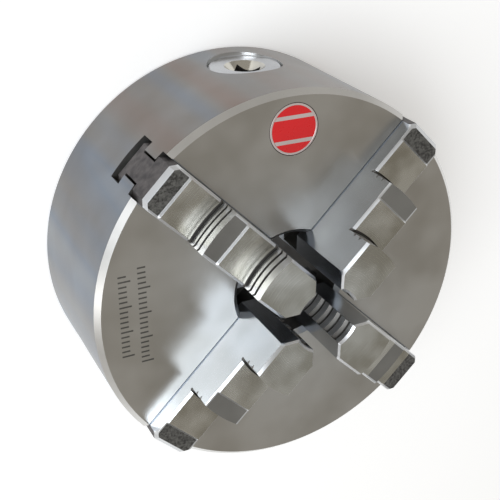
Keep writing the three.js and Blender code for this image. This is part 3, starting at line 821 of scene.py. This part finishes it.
@dataclass
class Jaw:
    """One stepped jaw along its azimuth, built as a loft of side profiles across its width."""

    layout: Layout
    palette: Palette
    index: int
    half_width: float = 9.6
    tip_radius: float = 12.0
    tip_half: float = 4.4
    tip_hollow: float = 0.7
    end_radius: float = 79.5
    end_chamfer: float = 2.3
    end_bevel: float = 1.7
    bottom: float = 45.1
    steps: tuple[float, float, float] = (72.2, 83.8, 95.0)
    risers: tuple[float, float] = (55.2, 32.8)
    ledges: tuple[float, float] = (8.2, 6.6)
    ledge_drop: float = 0.8
    side_chamfer: float = 1.0
    undercut: float = 1.0
    undercut_depth: float = 1.0
    serration: float = 1.15
    neck_half: float = 4.9
    groove: tuple[float, float] = (49.1, 59.9)
    tooth_count: int = 7
    tooth_pitch: float = 8.0
    first_tooth: float = 21.0
    tooth_half: float = 1.85
    tooth_faces: Point2 = (64.75, 34.25)
    tooth_reach: float = 9.0
    tooth_steps: int = 12
    tooth_low: float = 41.7
    scroll_mean_radius: float = 49.5
    riser_grooves: Point2 = (0.27, 0.58)
    tip_grooves: int = 5
    tip_groove_pitch: float = 6.1
    tip_groove_first: float = 3.0
    tip_edge: float = 0.9
    foot_run: float = 0.7

    def nose(self, across: float) -> float:
        """The inner end's radius at a distance across the jaw.

        Args:
            across: The distance from the jaw's middle.

        Returns:
            The radius of the tip, its slanted sides and its hollow.
        """
        side = max(0.0, abs(across) - self.tip_half)
        hollow = self.tip_hollow * max(0.0, 1 - (across / self.tip_half) ** 2)
        return self.tip_radius + side + hollow

    def outer_end(self, across: float) -> float:
        """The outer end's radius at a distance across the jaw.

        Args:
            across: The distance from the jaw's middle.

        Returns:
            The radius, less at the chamfered corners.
        """
        corner = max(0.0, abs(across) - (self.half_width - self.end_chamfer))
        return self.end_radius - corner

    def eased(self, top: float, across: float, chamfer: float) -> float:
        """A top surface's height at a distance across the jaw, with its side edges chamfered.

        Args:
            top: The height at the middle.
            across: The distance from the jaw's middle.
            chamfer: The side edges' chamfer.

        Returns:
            The height.
        """
        return top - max(0.0, abs(across) - (self.half_width - chamfer))

    def riser_radius(self, riser: float, across: float) -> float:
        """A riser's radius at a distance across the jaw, as an arc about the chuck's axis.

        Args:
            riser: The riser's radius.
            across: The distance from the jaw's middle.

        Returns:
            The distance out along the jaw.
        """
        return math.sqrt(riser * riser - across * across)

    def riser_points(
        self, riser: float, foot: float, top: float, across: float, after: int = LEDGE
    ) -> list[ProfilePoint]:
        """The points up one riser, with two serration grooves and the undercut at its foot.

        Args:
            riser: The riser's radius at the jaw's middle.
            foot: The height of the ground surface at its foot.
            top: The height of its top edge.
            across: The distance across the jaw.
            after: The finish of the surface that starts at its top.

        Returns:
            Radius, height and material index, from the foot's outer side upwards.
        """
        radius = self.riser_radius(riser, across)
        rise = top - foot
        points = [
            (radius + self.undercut, foot, CUT),
            (radius + self.undercut - 0.35, foot - self.undercut_depth, CUT),
            (radius + 0.1, foot - self.undercut_depth, CUT),
            (radius - 0.25, foot - self.undercut_depth * 0.4, CUT),
            (radius, foot + 0.3, RISER),
        ]
        for share in self.riser_grooves:
            low = foot + rise * share
            points += [
                (radius, low, CUT),
                (radius - self.serration, low + 0.2, CUT),
                (radius - self.serration, low + 0.5, CUT),
                (radius, low + 1.2, RISER),
            ]
        points.append((radius, top, after))
        return points

    def tip_points(self, across: float, top: float) -> list[ProfilePoint]:
        """The points down the serrated tip, from the top edge to the bottom.

        Args:
            across: The distance from the jaw's middle.
            top: The height of the top edge.

        Returns:
            Radius, height and material index.
        """
        nose = self.nose(across)
        depth = self.serration * 1.1 if abs(across) < self.tip_half - 0.1 else 0.0
        points = [(nose + self.tip_edge, top, RISER)]
        points.append((nose, top - self.tip_edge, RISER))
        for i in range(self.tip_grooves):
            high = self.steps[2] - self.tip_groove_first - i * self.tip_groove_pitch
            points += [
                (nose, high, CUT),
                (nose + depth, high - 0.9, CUT),
                (nose + depth, high - 2.3, CUT),
                (nose, high - 3.2, RISER),
            ]
        points.append((nose, self.bottom, RISER))
        return points

    def profile(self, across: float) -> list[ProfilePoint]:
        """The closed side profile at a distance across the jaw, each point with its face's finish.

        Args:
            across: The distance from the jaw's middle.

        Returns:
            Radius, height and material index, from the outer end round to the tip.
        """
        low, middle, high = (self.eased(top, across, self.side_chamfer) for top in self.steps)
        low_ledge = self.eased(self.steps[0] - self.ledge_drop, across, self.side_chamfer * 0.4)
        middle_ledge_top = self.eased(self.steps[1] - self.ledge_drop, across, self.side_chamfer * 0.4)
        end = self.outer_end(across)
        ledge_start = self.end_radius - self.ledges[0]
        middle_side = self.riser_radius(self.risers[0], self.half_width)
        middle_ledge = middle_side - self.ledges[1]
        return [
            (end, self.bottom, OXIDE),
            (end, low_ledge - self.end_bevel, RISER),
            (end - self.end_bevel, low_ledge, SKIN),
            (ledge_start, low_ledge, RISER),
            (ledge_start - self.foot_run, low, GROUND),
            *self.riser_points(self.risers[0], low, middle_ledge_top, across),
            (middle_ledge, middle_ledge_top, RISER),
            (middle_ledge - self.foot_run, middle, GROUND),
            *self.riser_points(self.risers[1], middle, high, across, GROUND),
            *self.tip_points(across, high),
        ]

    def stations(self) -> list[float]:
        """Where the side profiles stand across the jaw.

        Returns:
            Distances from one side to the other.
        """
        inner = self.tip_half
        corner = self.half_width - self.end_chamfer
        half = [0.0, inner * 0.35, inner * 0.7, inner - 0.12, inner]
        half += [5.9, corner, 8.0, 8.6, 9.2, self.half_width]
        return [-x for x in reversed(half[1:])] + half

    def blank(self) -> bpy.types.Object:
        """Loft the jaw.

        Returns:
            The jaw without its side grooves.
        """
        place = Matrix.Rotation(self.layout.jaw_azimuths[self.index], 4, "Z")
        mesh = bmesh.new()
        rings = []
        for across in self.stations():
            ring = [mesh.verts.new(place @ Vector((r, across, z))) for r, z, _ in self.profile(across)]
            rings.append(ring)
        kinds = [kind for _, _, kind in self.profile(0.0)]
        count = len(kinds)
        nose_start = count - len(self.tip_points(0.0, self.steps[2])) + 1
        spans = [min(abs(a), abs(b)) + 1e-6 for a, b in zip(self.stations(), self.stations()[1:])]
        for first, second, nearest in zip(rings, rings[1:], spans):
            for i in range(count):
                j = (i + 1) % count
                face = mesh.faces.new((first[i], first[j], second[j], second[i]))
                face.material_index = kinds[i]
                if i >= nose_start and nearest >= self.tip_half:
                    face.material_index = SIDE
                if kinds[i] in (GROUND, LEDGE, SKIN) and nearest >= self.half_width - self.side_chamfer:
                    face.material_index = RISER
        for ring in (rings[0][::-1], rings[-1]):
            mesh.faces.new(ring).material_index = SIDE
        for face in mesh.faces:
            if all(abs(vertex.co.z - self.bottom) < 1e-6 for vertex in face.verts):
                face.material_index = CUT
        return object_from(f"jaw_{self.index + 1}_ground", mesh)

    def add_teeth(self) -> bpy.types.Object:
        """The teeth under the jaw, which sit in the scroll's thread.

        Returns:
            The teeth, as one object.
        """
        place = Matrix.Rotation(self.layout.jaw_azimuths[self.index], 4, "Z")
        mesh = bmesh.new()
        slope = self.tooth_pitch / (2 * math.pi * self.scroll_mean_radius)
        first = self.first_tooth + self.tooth_pitch * self.index / 4
        for number in range(self.tooth_count):
            middle = first + number * self.tooth_pitch
            outline = []
            for side, radius in zip((-1, 1), self.tooth_faces):
                offset = side * self.tooth_half
                shares = [i / self.tooth_steps for i in range(self.tooth_steps + 1)]
                across = [self.tooth_reach * (1 - 2 * share) for share in shares][::-side]
                sags = [radius - math.sqrt(radius * radius - t * t) for t in across]
                outline += [(middle + offset + slope * t - s, t) for t, s in zip(across, sags)]
            add_prism(mesh, outline, self.tooth_low, self.bottom, place)
        return object_from(f"jaw_{self.index + 1}_teeth", mesh)

    def groove_cutter(self) -> bpy.types.Object:
        """The two side grooves that the body's tongues enter, as one cutter.

        Returns:
            The cutter.
        """
        mesh = bmesh.new()
        low, high = self.groove
        azimuth = self.layout.jaw_azimuths[self.index]
        for side in (1, -1):
            outline = [
                (side * self.neck_half, low),
                (side * 14.0, low),
                (side * 14.0, high),
                (side * self.neck_half, high),
            ]
            add_prism(mesh, outline, 5.0, 90.0, outward(azimuth), finish=CUT)
        return object_from("groove_cutter", mesh)

    def build(self) -> bpy.types.Object:
        """Make, cut and dress the jaw.

        Returns:
            The finished piece.
        """
        piece = self.blank()
        finishes = (Finish.JAW_GROUND, Finish.JAW_RISER, Finish.JAW_LEDGE, Finish.JAW_OXIDE, Finish.MILLED)
        finishes += (Finish.JAW_SIDE, Finish.JAW_SKIN)
        self.palette.dress(piece, *finishes)
        cutter = self.groove_cutter()
        self.palette.dress(cutter, *finishes)
        cut(piece, cutter)
        finish_edges(piece, 0.3)
        teeth = self.add_teeth()
        self.palette.dress(teeth, Finish.SCROLL)
        finish_edges(teeth, 0.15)
        name = f"jaw_{self.index + 1}"
        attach(piece, name)
        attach(teeth, name)
        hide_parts(name)
        return piece


@dataclass
class Pinion:
    """One bevel pinion: polished head with a countersunk square socket, neck, teeth and spigot."""

    layout: Layout
    palette: Palette
    index: int
    teeth: int = 12
    pitch_radius: float = 11.7
    gear_outer: float = 58.5
    small_scale: float = 0.79
    addendum: float = 1.7
    dedendum: float = 2.3
    neck_radius: float = 11.0
    spigot_radius: float = 6.0
    spigot_end: float = 27.0
    head_inner: float = 65.2
    groove_depth: float = 2.5
    key_square: float = 10.0
    key_depth: float = 16.0
    mouth_radius: float = 8.2
    socket_reach: float = 7.1
    floor_reach: float = 2.0
    socket_start: float = 60.0
    cone_start: float = 70.0
    head_groove: Point2 = (3.3, 4.0)
    head_chamfer: float = 0.8
    flank_slope: float = 0.36
    tooth_share: float = 0.4
    root_overlap: float = 0.4

    def outline(self) -> list[Point2]:
        """The turned outline, as (radius, distance from the chuck's axis) points.

        Returns:
            The outline, from the spigot to the head.
        """
        head, outer = self.layout.pinion_radius, self.layout.pinion_outer
        root = self.pitch_radius - self.dedendum
        groove_outer = outer - self.head_groove[0]
        groove_inner = groove_outer - self.head_groove[1]
        chamfer = self.head_chamfer
        gear_end = self.gear_outer + self.root_overlap
        return [
            (ON_AXIS, self.spigot_end),
            (self.spigot_radius, self.spigot_end),
            (self.spigot_radius, self.gear_outer * self.small_scale),
            (root * self.small_scale, self.gear_outer * self.small_scale),
            (root, gear_end),
            (self.neck_radius, gear_end),
            (self.neck_radius, self.head_inner),
            (head, self.head_inner),
            (head, groove_inner),
            (head - self.groove_depth, groove_inner),
            (head - self.groove_depth, groove_outer),
            (head, groove_outer),
            (head, outer - chamfer),
            (head - chamfer, outer),
            (ON_AXIS, outer),
        ]

    def tooth(self, mesh: bmesh.types.BMesh, place: Matrix, angle: float) -> None:
        """Add one straight bevel tooth at an angle round the pinion.

        Args:
            mesh: Where the faces go.
            place: The pinion's frame.
            angle: Where the tooth stands, in radians.
        """
        turn = place @ Matrix.Rotation(angle, 4, "Z")
        width = self.pitch_radius * math.pi / self.teeth * self.tooth_share
        depth = self.dedendum + self.root_overlap
        sections = []
        for scale in (1.0, self.small_scale):
            root = (self.pitch_radius - depth) * scale
            tip = (self.pitch_radius + self.addendum) * scale
            root_half = (width + depth * self.flank_slope) * scale
            tip_half = (width - self.addendum * self.flank_slope) * scale
            along = self.gear_outer * scale
            corners = ((root, root_half), (tip, tip_half), (tip, -tip_half), (root, -root_half))
            sections.append([tuple(turn @ Vector((side, up, along))) for up, side in corners])
        add_loft(mesh, sections, closed=False)

    def socket_cutter(self, place: Matrix) -> bpy.types.Object:
        """The countersunk mouth, as a cutter.

        Args:
            place: The pinion's frame.

        Returns:
            The cutter.
        """
        mesh = bmesh.new()
        outer = self.layout.pinion_outer
        deep = outer - (self.mouth_radius - self.key_square / 2)
        outline = [(ON_AXIS, deep), (self.key_square / 2, deep)]
        outline += [(self.mouth_radius + 1, outer + 1), (ON_AXIS, outer + 1)]
        add_lathe(mesh, outline, 96, place)
        return object_from("mouth_cutter", mesh)

    def square_cutter(self, place: Matrix) -> bpy.types.Object:
        """The square socket, as a cutter.

        Args:
            place: The pinion's frame.

        Returns:
            The cutter.
        """
        mesh = bmesh.new()
        outer = self.layout.pinion_outer
        diagonal = self.key_square / math.sqrt(2)
        square = [(diagonal, 0.0), (0.0, diagonal), (-diagonal, 0.0), (0.0, -diagonal)]
        add_prism(mesh, square, outer - self.key_depth, outer + 2, place)
        return object_from("square_cutter", mesh)

    def build(self) -> bpy.types.Object:
        """Make, cut and dress the pinion and its teeth.

        Returns:
            The finished pinion.
        """
        place = outward(self.layout.pinion_azimuths[self.index], self.layout.pinion_height)
        mesh = bmesh.new()
        add_lathe(mesh, self.outline(), 96, place)
        piece = object_from(f"pinion_{self.index + 1}_turned", mesh)
        cut(piece, self.socket_cutter(place))
        cut(piece, self.square_cutter(place))
        self.palette.dress(piece, Finish.PINION_END, Finish.SOCKET, Finish.POLISHED)
        ground, painted_shade_slot, shiny = range(3)
        axis = place.to_3x3() @ Vector((0, 0, 1))
        centre = Vector((0, 0, self.layout.pinion_height * MM))
        for face in piece.data.polygons:
            offset = face.center - centre
            along = offset.dot(axis)
            from_axis = (offset - axis * along).length
            steep = abs(face.normal.dot(axis)) < 0.3
            inside = from_axis < self.socket_reach * MM and along > self.socket_start * MM and steep
            floor = from_axis < self.floor_reach * MM and along > self.socket_start * MM
            cone = from_axis < self.mouth_radius * MM and along > self.cone_start * MM
            # The square socket's walls and floor take the near-black painted shade.
            face.material_index = painted_shade_slot if inside or floor else shiny if cone else ground
        finish_edges(piece, 0.2)
        gear_mesh = bmesh.new()
        for number in range(self.teeth):
            self.tooth(gear_mesh, place, 2 * math.pi * number / self.teeth)
        gear = object_from(f"pinion_{self.index + 1}_teeth", gear_mesh)
        self.palette.dress(gear, Finish.SCROLL)
        finish_edges(gear, 0.15)
        name = f"pinion_{self.index + 1}"
        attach(piece, name)
        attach(gear, name)
        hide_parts(name)
        return piece


@dataclass
class BackCover:
    """The cover behind the scroll plate, with its collar, spigot holes and countersunk screw holes."""

    layout: Layout
    palette: Palette
    inner_radius: float = 22.5
    outer_radius: float = 64.8
    rear: float = 5.0
    front: float = 10.0
    collar: Point3 = (34.2, 43.5, 32.75)
    spigot_reach: Point2 = (33.0, 45.0)
    head_radius: float = 4.95
    shank_radius: float = 2.65
    cone: Point2 = (5.25, 7.55)
    overcut: float = 1.0

    def build(self) -> bpy.types.Object:
        """Make and dress the cover.

        Returns:
            The finished piece.
        """
        inner, outer, top = self.collar
        outline = [
            (self.inner_radius, self.rear),
            (self.outer_radius, self.rear),
            (self.outer_radius, self.front),
            (outer, self.front),
            (outer, top),
            (inner, top),
            (inner, self.front),
            (self.inner_radius, self.front),
        ]
        mesh = bmesh.new()
        add_lathe(mesh, outline, 180)
        piece = object_from("back_cover_turned", mesh)
        holes = bmesh.new()
        low, high = self.rear - self.overcut, self.front + self.overcut
        for azimuth in self.layout.pinion_azimuths:
            place = outward(azimuth, self.layout.pinion_height)
            add_prism(holes, circle(SPIGOT_HOLE, HOLE_FACETS), *self.spigot_reach, place)
        for i in range(COVER_SCREWS):
            sink = [(ON_AXIS, low), (self.head_radius, low), (self.head_radius, self.cone[0])]
            sink += [(self.shank_radius, self.cone[1]), (self.shank_radius, high), (ON_AXIS, high)]
            add_lathe(holes, sink, HOLE_FACETS, upright(COVER_SCREW_CIRCLE, i * math.pi / 3))
        cut(piece, object_from("cover_holes", holes))
        self.palette.dress(piece, Finish.COVER)
        finish_edges(piece, 0.25)
        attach(piece, "chuck")
        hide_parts("back_cover")
        return piece


@dataclass
class RingOf:
    """A ring of equal pieces made with Geometry Nodes and turned into one plain mesh."""

    name: str
    count: int
    radius: float
    first_azimuth: float

    def tree(self, source: bpy.types.Object, material: bpy.types.Material) -> bpy.types.NodeTree:
        """Build the node tree.

        Args:
            source: The piece to repeat, standing on the axis.
            material: The material of every copy.

        Returns:
            The tree, with Count, Radius and Start inputs.
        """
        tree = bpy.data.node_groups.new(self.name + "_ring", "GeometryNodeTree")
        kinds = {"Geometry": "Geometry", "Count": "Int", "Radius": "Float", "Start": "Float"}
        for label, kind in kinds.items():
            tree.interface.new_socket(label, in_out="INPUT", socket_type="NodeSocket" + kind)
        tree.interface.new_socket("Geometry", in_out="OUTPUT", socket_type="NodeSocketGeometry")
        given = add_node(tree, "NodeGroupInput")
        points = add_node(tree, "GeometryNodePoints")
        index = add_node(tree, "GeometryNodeInputIndex")
        step = add_node(tree, "ShaderNodeMath", "DIVIDE", {0: 2 * math.pi})
        angle = add_node(tree, "ShaderNodeMath", "MULTIPLY_ADD")
        cosine = add_node(tree, "ShaderNodeMath", "COSINE")
        sine = add_node(tree, "ShaderNodeMath", "SINE")
        unit = add_node(tree, "ShaderNodeCombineXYZ")
        spot = add_node(tree, "ShaderNodeVectorMath", "SCALE")
        turn = add_node(tree, "ShaderNodeCombineXYZ")
        item = add_node(tree, "GeometryNodeObjectInfo", values={"Object": source})
        copies = add_node(tree, "GeometryNodeInstanceOnPoints")
        real = add_node(tree, "GeometryNodeRealizeInstances")
        paint = add_node(tree, "GeometryNodeSetMaterial", values={"Material": material})
        wire(
            tree,
            (given, "Count", points, "Count"),
            (given, "Count", step, 1),
            (index, "Index", angle, 0),
            (step, "Value", angle, 1),
            (given, "Start", angle, 2),
            (angle, "Value", cosine, 0),
            (angle, "Value", sine, 0),
            (cosine, "Value", unit, "X"),
            (sine, "Value", unit, "Y"),
            (unit, "Vector", spot, 0),
            (given, "Radius", spot, "Scale"),
            (spot, "Vector", points, "Position"),
            (angle, "Value", turn, "Z"),
            (points, "Points", copies, "Points"),
            (item, "Geometry", copies, "Instance"),
            (turn, "Vector", copies, "Rotation"),
            (copies, "Instances", real, "Geometry"),
            (real, "Geometry", paint, "Geometry"),
            (paint, "Geometry", add_node(tree, "NodeGroupOutput"), "Geometry"),
        )
        return tree

    def build(self, source: bpy.types.Object, material: bpy.types.Material) -> bpy.types.Object:
        """Repeat a piece round the axis.

        Args:
            source: The piece to repeat, which is deleted afterwards.
            material: The material of every copy.

        Returns:
            One mesh object with every copy in it.
        """
        host = bpy.data.objects.new(self.name, bpy.data.meshes.new(self.name))
        bpy.context.scene.collection.objects.link(host)
        step = host.modifiers.new("ring", "NODES")
        step.node_group = self.tree(source, material)
        items = step.node_group.interface.items_tree
        sockets = {item.name: item.identifier for item in items if item.in_out == "INPUT"}
        step[sockets["Count"]] = self.count
        step[sockets["Radius"]] = self.radius * MM
        step[sockets["Start"]] = self.first_azimuth
        graph = bpy.context.evaluated_depsgraph_get()
        result = bpy.data.meshes.new_from_object(host.evaluated_get(graph))
        host.modifiers.clear()
        host.data = result
        bpy.data.objects.remove(source)
        return host


@dataclass
class Screws:
    """The countersunk cover screws and the pinion retaining screws."""

    palette: Palette
    key_across: float = 3.0

    def socket(self, piece: bpy.types.Object, across: float, low: float, high: float) -> None:
        """Cut a hexagon socket into a screw that stands on the axis.

        Args:
            piece: The screw.
            across: The socket's size across flats.
            low: Where the cutter starts.
            high: Where it ends.
        """
        mesh = bmesh.new()
        add_prism(mesh, circle(across / math.sqrt(3), 6), low, high, Matrix.Identity(4))
        cut(piece, object_from("hex_cutter", mesh))

    def one(
        self, name: str, outline: list[Point2], socket_across: float, low: float, high: float
    ) -> bpy.types.Object:
        """Turn one screw on the axis and cut its socket.

        Args:
            name: The screw's name.
            outline: Its turned outline.
            socket_across: The socket's size across flats.
            low: Where the socket's cutter starts.
            high: How deep it goes.

        Returns:
            The screw.
        """
        mesh = bmesh.new()
        add_lathe(mesh, outline, 48)
        piece = object_from(name, mesh)
        self.socket(piece, socket_across, low, high)
        data = piece.data
        data.polygons.foreach_set("use_smooth", [True] * len(data.polygons))
        data.set_sharp_from_angle(angle=math.radians(32))
        return piece

    def build(self) -> list[bpy.types.Object]:
        """Make both rings of screws.

        Returns:
            The two finished pieces.
        """
        black = self.palette.materials[Finish.BLACK]
        head = [(ON_AXIS, 5.1), (4.5, 5.1), (4.8, 5.3), (2.5, 7.5), (2.5, 21.0), (ON_AXIS, 21.0)]
        dog = [(ON_AXIS, 1.2), (2.7, 1.2), (3.0, 1.5), (3.0, 8.2), (1.6, 8.5), (1.6, 10.9), (ON_AXIS, 10.9)]
        cover = RingOf("cover_screws", COVER_SCREWS, COVER_SCREW_CIRCLE, 0.0)
        cover = cover.build(self.one("cover_screw", head, self.key_across, 4.0, 7.4), black)
        keep = RingOf("pinion_retaining_screws", 3, RETAINER_CIRCLE, math.pi / 2)
        keep = keep.build(self.one("retainer", dog, self.key_across, 0.0, 4.2), black)
        for piece, stem, count in ((cover, "cover_screw", COVER_SCREWS), (keep, "pinion_retaining_screw", 3)):
            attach(piece, "chuck")
            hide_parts(*[f"{stem}_{i + 1}" for i in range(count)])
        return [cover, keep]


@dataclass
class Badge:
    """The round badge: a pale metal rim round a red enamel field with two plain pale bars."""

    layout: Layout
    palette: Palette
    radius: float = 9.9
    place: float = 65.3
    rim: float = 0.8
    bar: float = 0.75
    bar_place: float = 4.7

    def build(self) -> list[bpy.types.Object]:
        """Make and dress the badge's rim, field and bars.

        Returns:
            The three finished pieces.
        """
        height = self.layout.body_height
        spot = upright(self.place, math.pi / 2)
        mesh = bmesh.new()
        base = height - 0.5
        inner = self.radius - self.rim
        top = height + 0.12
        outline = [(ON_AXIS, base), (self.radius, base), (self.radius, height + 0.05)]
        outline += [(self.radius - 0.15, top), (inner + 0.15, top)]
        outline += [(inner, height + 0.02), (inner, base + 0.2), (ON_AXIS, base + 0.2)]
        add_lathe(mesh, outline, 96, spot)
        rim = object_from("badge_rim", mesh)
        self.palette.dress(rim, Finish.BADGE_METAL)
        finish_edges(rim, 0.03)
        field_mesh = bmesh.new()
        dome = [(ON_AXIS, base + 0.22), (inner - 0.02, base + 0.22)]
        steps = 8
        for i in range(steps + 1):
            share = 1 - i / steps
            dome.append((max(ON_AXIS, (inner - 0.02) * share), height + 0.02 + 0.1 * (1 - share * share)))
        add_lathe(field_mesh, dome, 96, spot)
        enamel = object_from("badge_field", field_mesh)
        self.palette.dress(enamel, Finish.ENAMEL)
        enamel.data.polygons.foreach_set("use_smooth", [True] * len(enamel.data.polygons))
        enamel.data.set_sharp_from_angle(angle=math.radians(40))
        bar_mesh = bmesh.new()
        for offset in (self.bar_place, -self.bar_place):
            low, high = offset - self.bar, offset + self.bar
            corners = ((-1, low), (1, low), (1, high), (-1, high))
            outline = [(sign * math.sqrt(inner**2 - y**2), self.place + y) for sign, y in corners]
            add_prism(bar_mesh, outline, height, height + 0.13, Matrix.Identity(4))
        bars = object_from("badge_bars", bar_mesh)
        self.palette.dress(bars, Finish.BADGE_METAL)
        for piece in (rim, enamel, bars):
            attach(piece, "chuck")
        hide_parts("badge")
        return [rim, enamel, bars]


@dataclass
class EtchedMarks:
    """Two plain etched scales on the front face, with no letters or numbers."""

    layout: Layout
    palette: Palette
    rows: tuple[tuple[float, float, float], ...] = ((-69.0, -14.0, 20.0), (-61.5, -18.0, 23.0))
    stroke: float = 0.34
    spacing: float = 2.1
    reach: float = 1.6

    def build(self) -> bpy.types.Object:
        """Make and dress the strokes.

        Returns:
            The finished piece.
        """
        mesh = bmesh.new()
        height = self.layout.body_height
        for x, low, high in self.rows:
            count = int((high - low) / self.spacing) + 1
            for number in range(count):
                y = low + number * self.spacing
                reach = self.reach if number % 5 else self.reach * 1.5
                outline = [(x - self.reach, y), (x - self.reach + 2 * reach, y)]
                outline += [(px, y + 2 * self.stroke) for px, _ in reversed(outline)]
                add_prism(mesh, outline, height - 0.05, height + 0.012, Matrix.Identity(4))
        piece = object_from("etched_marks", mesh)
        self.palette.dress(piece, Finish.ETCH)
        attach(piece, "chuck")
        return piece


# ---------------------------------------------------------------------------------------------
# Stage
# ---------------------------------------------------------------------------------------------


@dataclass
class Studio:
    """Camera, floor and soft lights."""

    azimuth: float = 131.21
    elevation: float = 53.09
    roll: float = 132.67
    distance: float = 397.51
    aim_height: float = 40.0
    shift_right: float = -4.8
    shift_up: float = 3.96
    lens: float = 68.6

    def axes(self) -> tuple[Vector, Vector, Vector]:
        """The camera's right, up and back directions.

        Returns:
            The three unit vectors.
        """
        az, el, roll = (math.radians(v) for v in (self.azimuth, self.elevation, self.roll))
        back = Vector((math.cos(az) * math.cos(el), math.sin(az) * math.cos(el), math.sin(el)))
        level = Vector((-math.cos(az) * math.sin(el), -math.sin(az) * math.sin(el), math.cos(el)))
        side = level.cross(back)
        right = math.cos(roll) * side + math.sin(roll) * level
        up = -math.sin(roll) * side + math.cos(roll) * level
        return right, up, back

    def camera(self) -> None:
        """Make the camera and set it as the scene's."""
        right, up, back = self.axes()
        place = back * self.distance + right * self.shift_right + up * self.shift_up
        place += Vector((0, 0, self.aim_height))
        data = bpy.data.cameras.new("camera")
        data.lens = self.lens
        data.sensor_width = 36.0
        data.clip_end = 50.0
        holder = bpy.data.objects.new("camera", data)
        bpy.context.scene.collection.objects.link(holder)
        turn = Matrix((right, up, back)).transposed().to_4x4()
        holder.matrix_world = Matrix.Translation(place * MM) @ turn
        bpy.context.scene.camera = holder

    def floor(self) -> None:
        """Make the pale floor under the chuck's rear face."""
        mesh = bmesh.new()
        add_prism(mesh, circle(6000.0, 96), -40.0, -0.3, Matrix.Identity(4))
        floor = object_from("floor", mesh)
        material = bpy.data.materials.new("pale_floor")
        material.use_nodes = True
        shader = material.node_tree.nodes["Principled BSDF"]
        shader.inputs["Base Color"].default_value = (0.93, 0.93, 0.93, 1.0)
        shader.inputs["Roughness"].default_value = 0.9
        shader.inputs["Specular IOR Level"].default_value = 0.1
        shader.inputs["Emission Color"].default_value = (1.0, 1.0, 1.0, 1.0)
        shader.inputs["Emission Strength"].default_value = 0.3
        floor.data.materials.append(material)

    def light(
        self,
        name: str,
        azimuth: float,
        elevation: float,
        distance: float,
        size: float,
        power: float,
        tint: Point3,
    ) -> None:
        """Add one soft area light that faces the chuck.

        Args:
            name: The light's name.
            azimuth: Its azimuth, in degrees.
            elevation: Its height above the floor, in degrees.
            distance: Its distance, in metres.
            size: Its side, in metres.
            power: Its power, in watts.
            tint: Its colour.
        """
        az, el = math.radians(azimuth), math.radians(elevation)
        out = Vector((math.cos(az) * math.cos(el), math.sin(az) * math.cos(el), math.sin(el)))
        data = bpy.data.lights.new(name, "AREA")
        data.shape = "SQUARE"
        data.size = size
        data.energy = power
        data.color = tint
        lamp = bpy.data.objects.new(name, data)
        bpy.context.scene.collection.objects.link(lamp)
        lamp.location = out * distance + Vector((0, 0, 0.05))
        lamp.rotation_euler = out.to_track_quat("Z", "Y").to_euler()

    def build(self) -> None:
        """Make the camera, floor, world and lights."""
        self.camera()
        self.floor()
        world = bpy.data.worlds.new("soft_room")
        world.use_nodes = True
        world.node_tree.nodes["Background"].inputs["Color"].default_value = (0.42, 0.4, 0.37, 1.0)
        bpy.context.scene.world = world
        bpy.context.scene.view_settings.view_transform = "Standard"
        self.light("left_softbox", 171.0, 50.0, 1.3, 0.8, 10.5, (0.9, 0.95, 1.0))
        self.light("low_left_softbox", 200.0, 25.0, 1.3, 0.34, 1.0, (1.0, 1.0, 1.0))
        self.light("cool_card", 310.0, 51.0, 1.4, 0.26, 0.12, (0.6, 0.78, 1.0))


def main() -> None:
    """Build every sub-assembly in order, then the stage, and report each piece."""
    logging.basicConfig(level=logging.INFO, format="%(message)s")
    palette = Palette()
    layout = Layout()
    palette.dress(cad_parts["scroll_plate"], Finish.SCROLL)
    pieces = [ChuckBody(layout, palette).build(), BackCover(layout, palette).build()]
    pieces += [Jaw(layout, palette, i).build() for i in range(4)]
    pieces += [Pinion(layout, palette, i).build() for i in range(3)]
    pieces += Screws(palette).build()
    pieces += Badge(layout, palette).build()
    pieces.append(EtchedMarks(layout, palette).build())
    Studio().build()
    for piece in pieces:
        LOG.info("%s: %d faces", piece.name, len(piece.data.polygons))


if __name__ == "__main__":
    main()
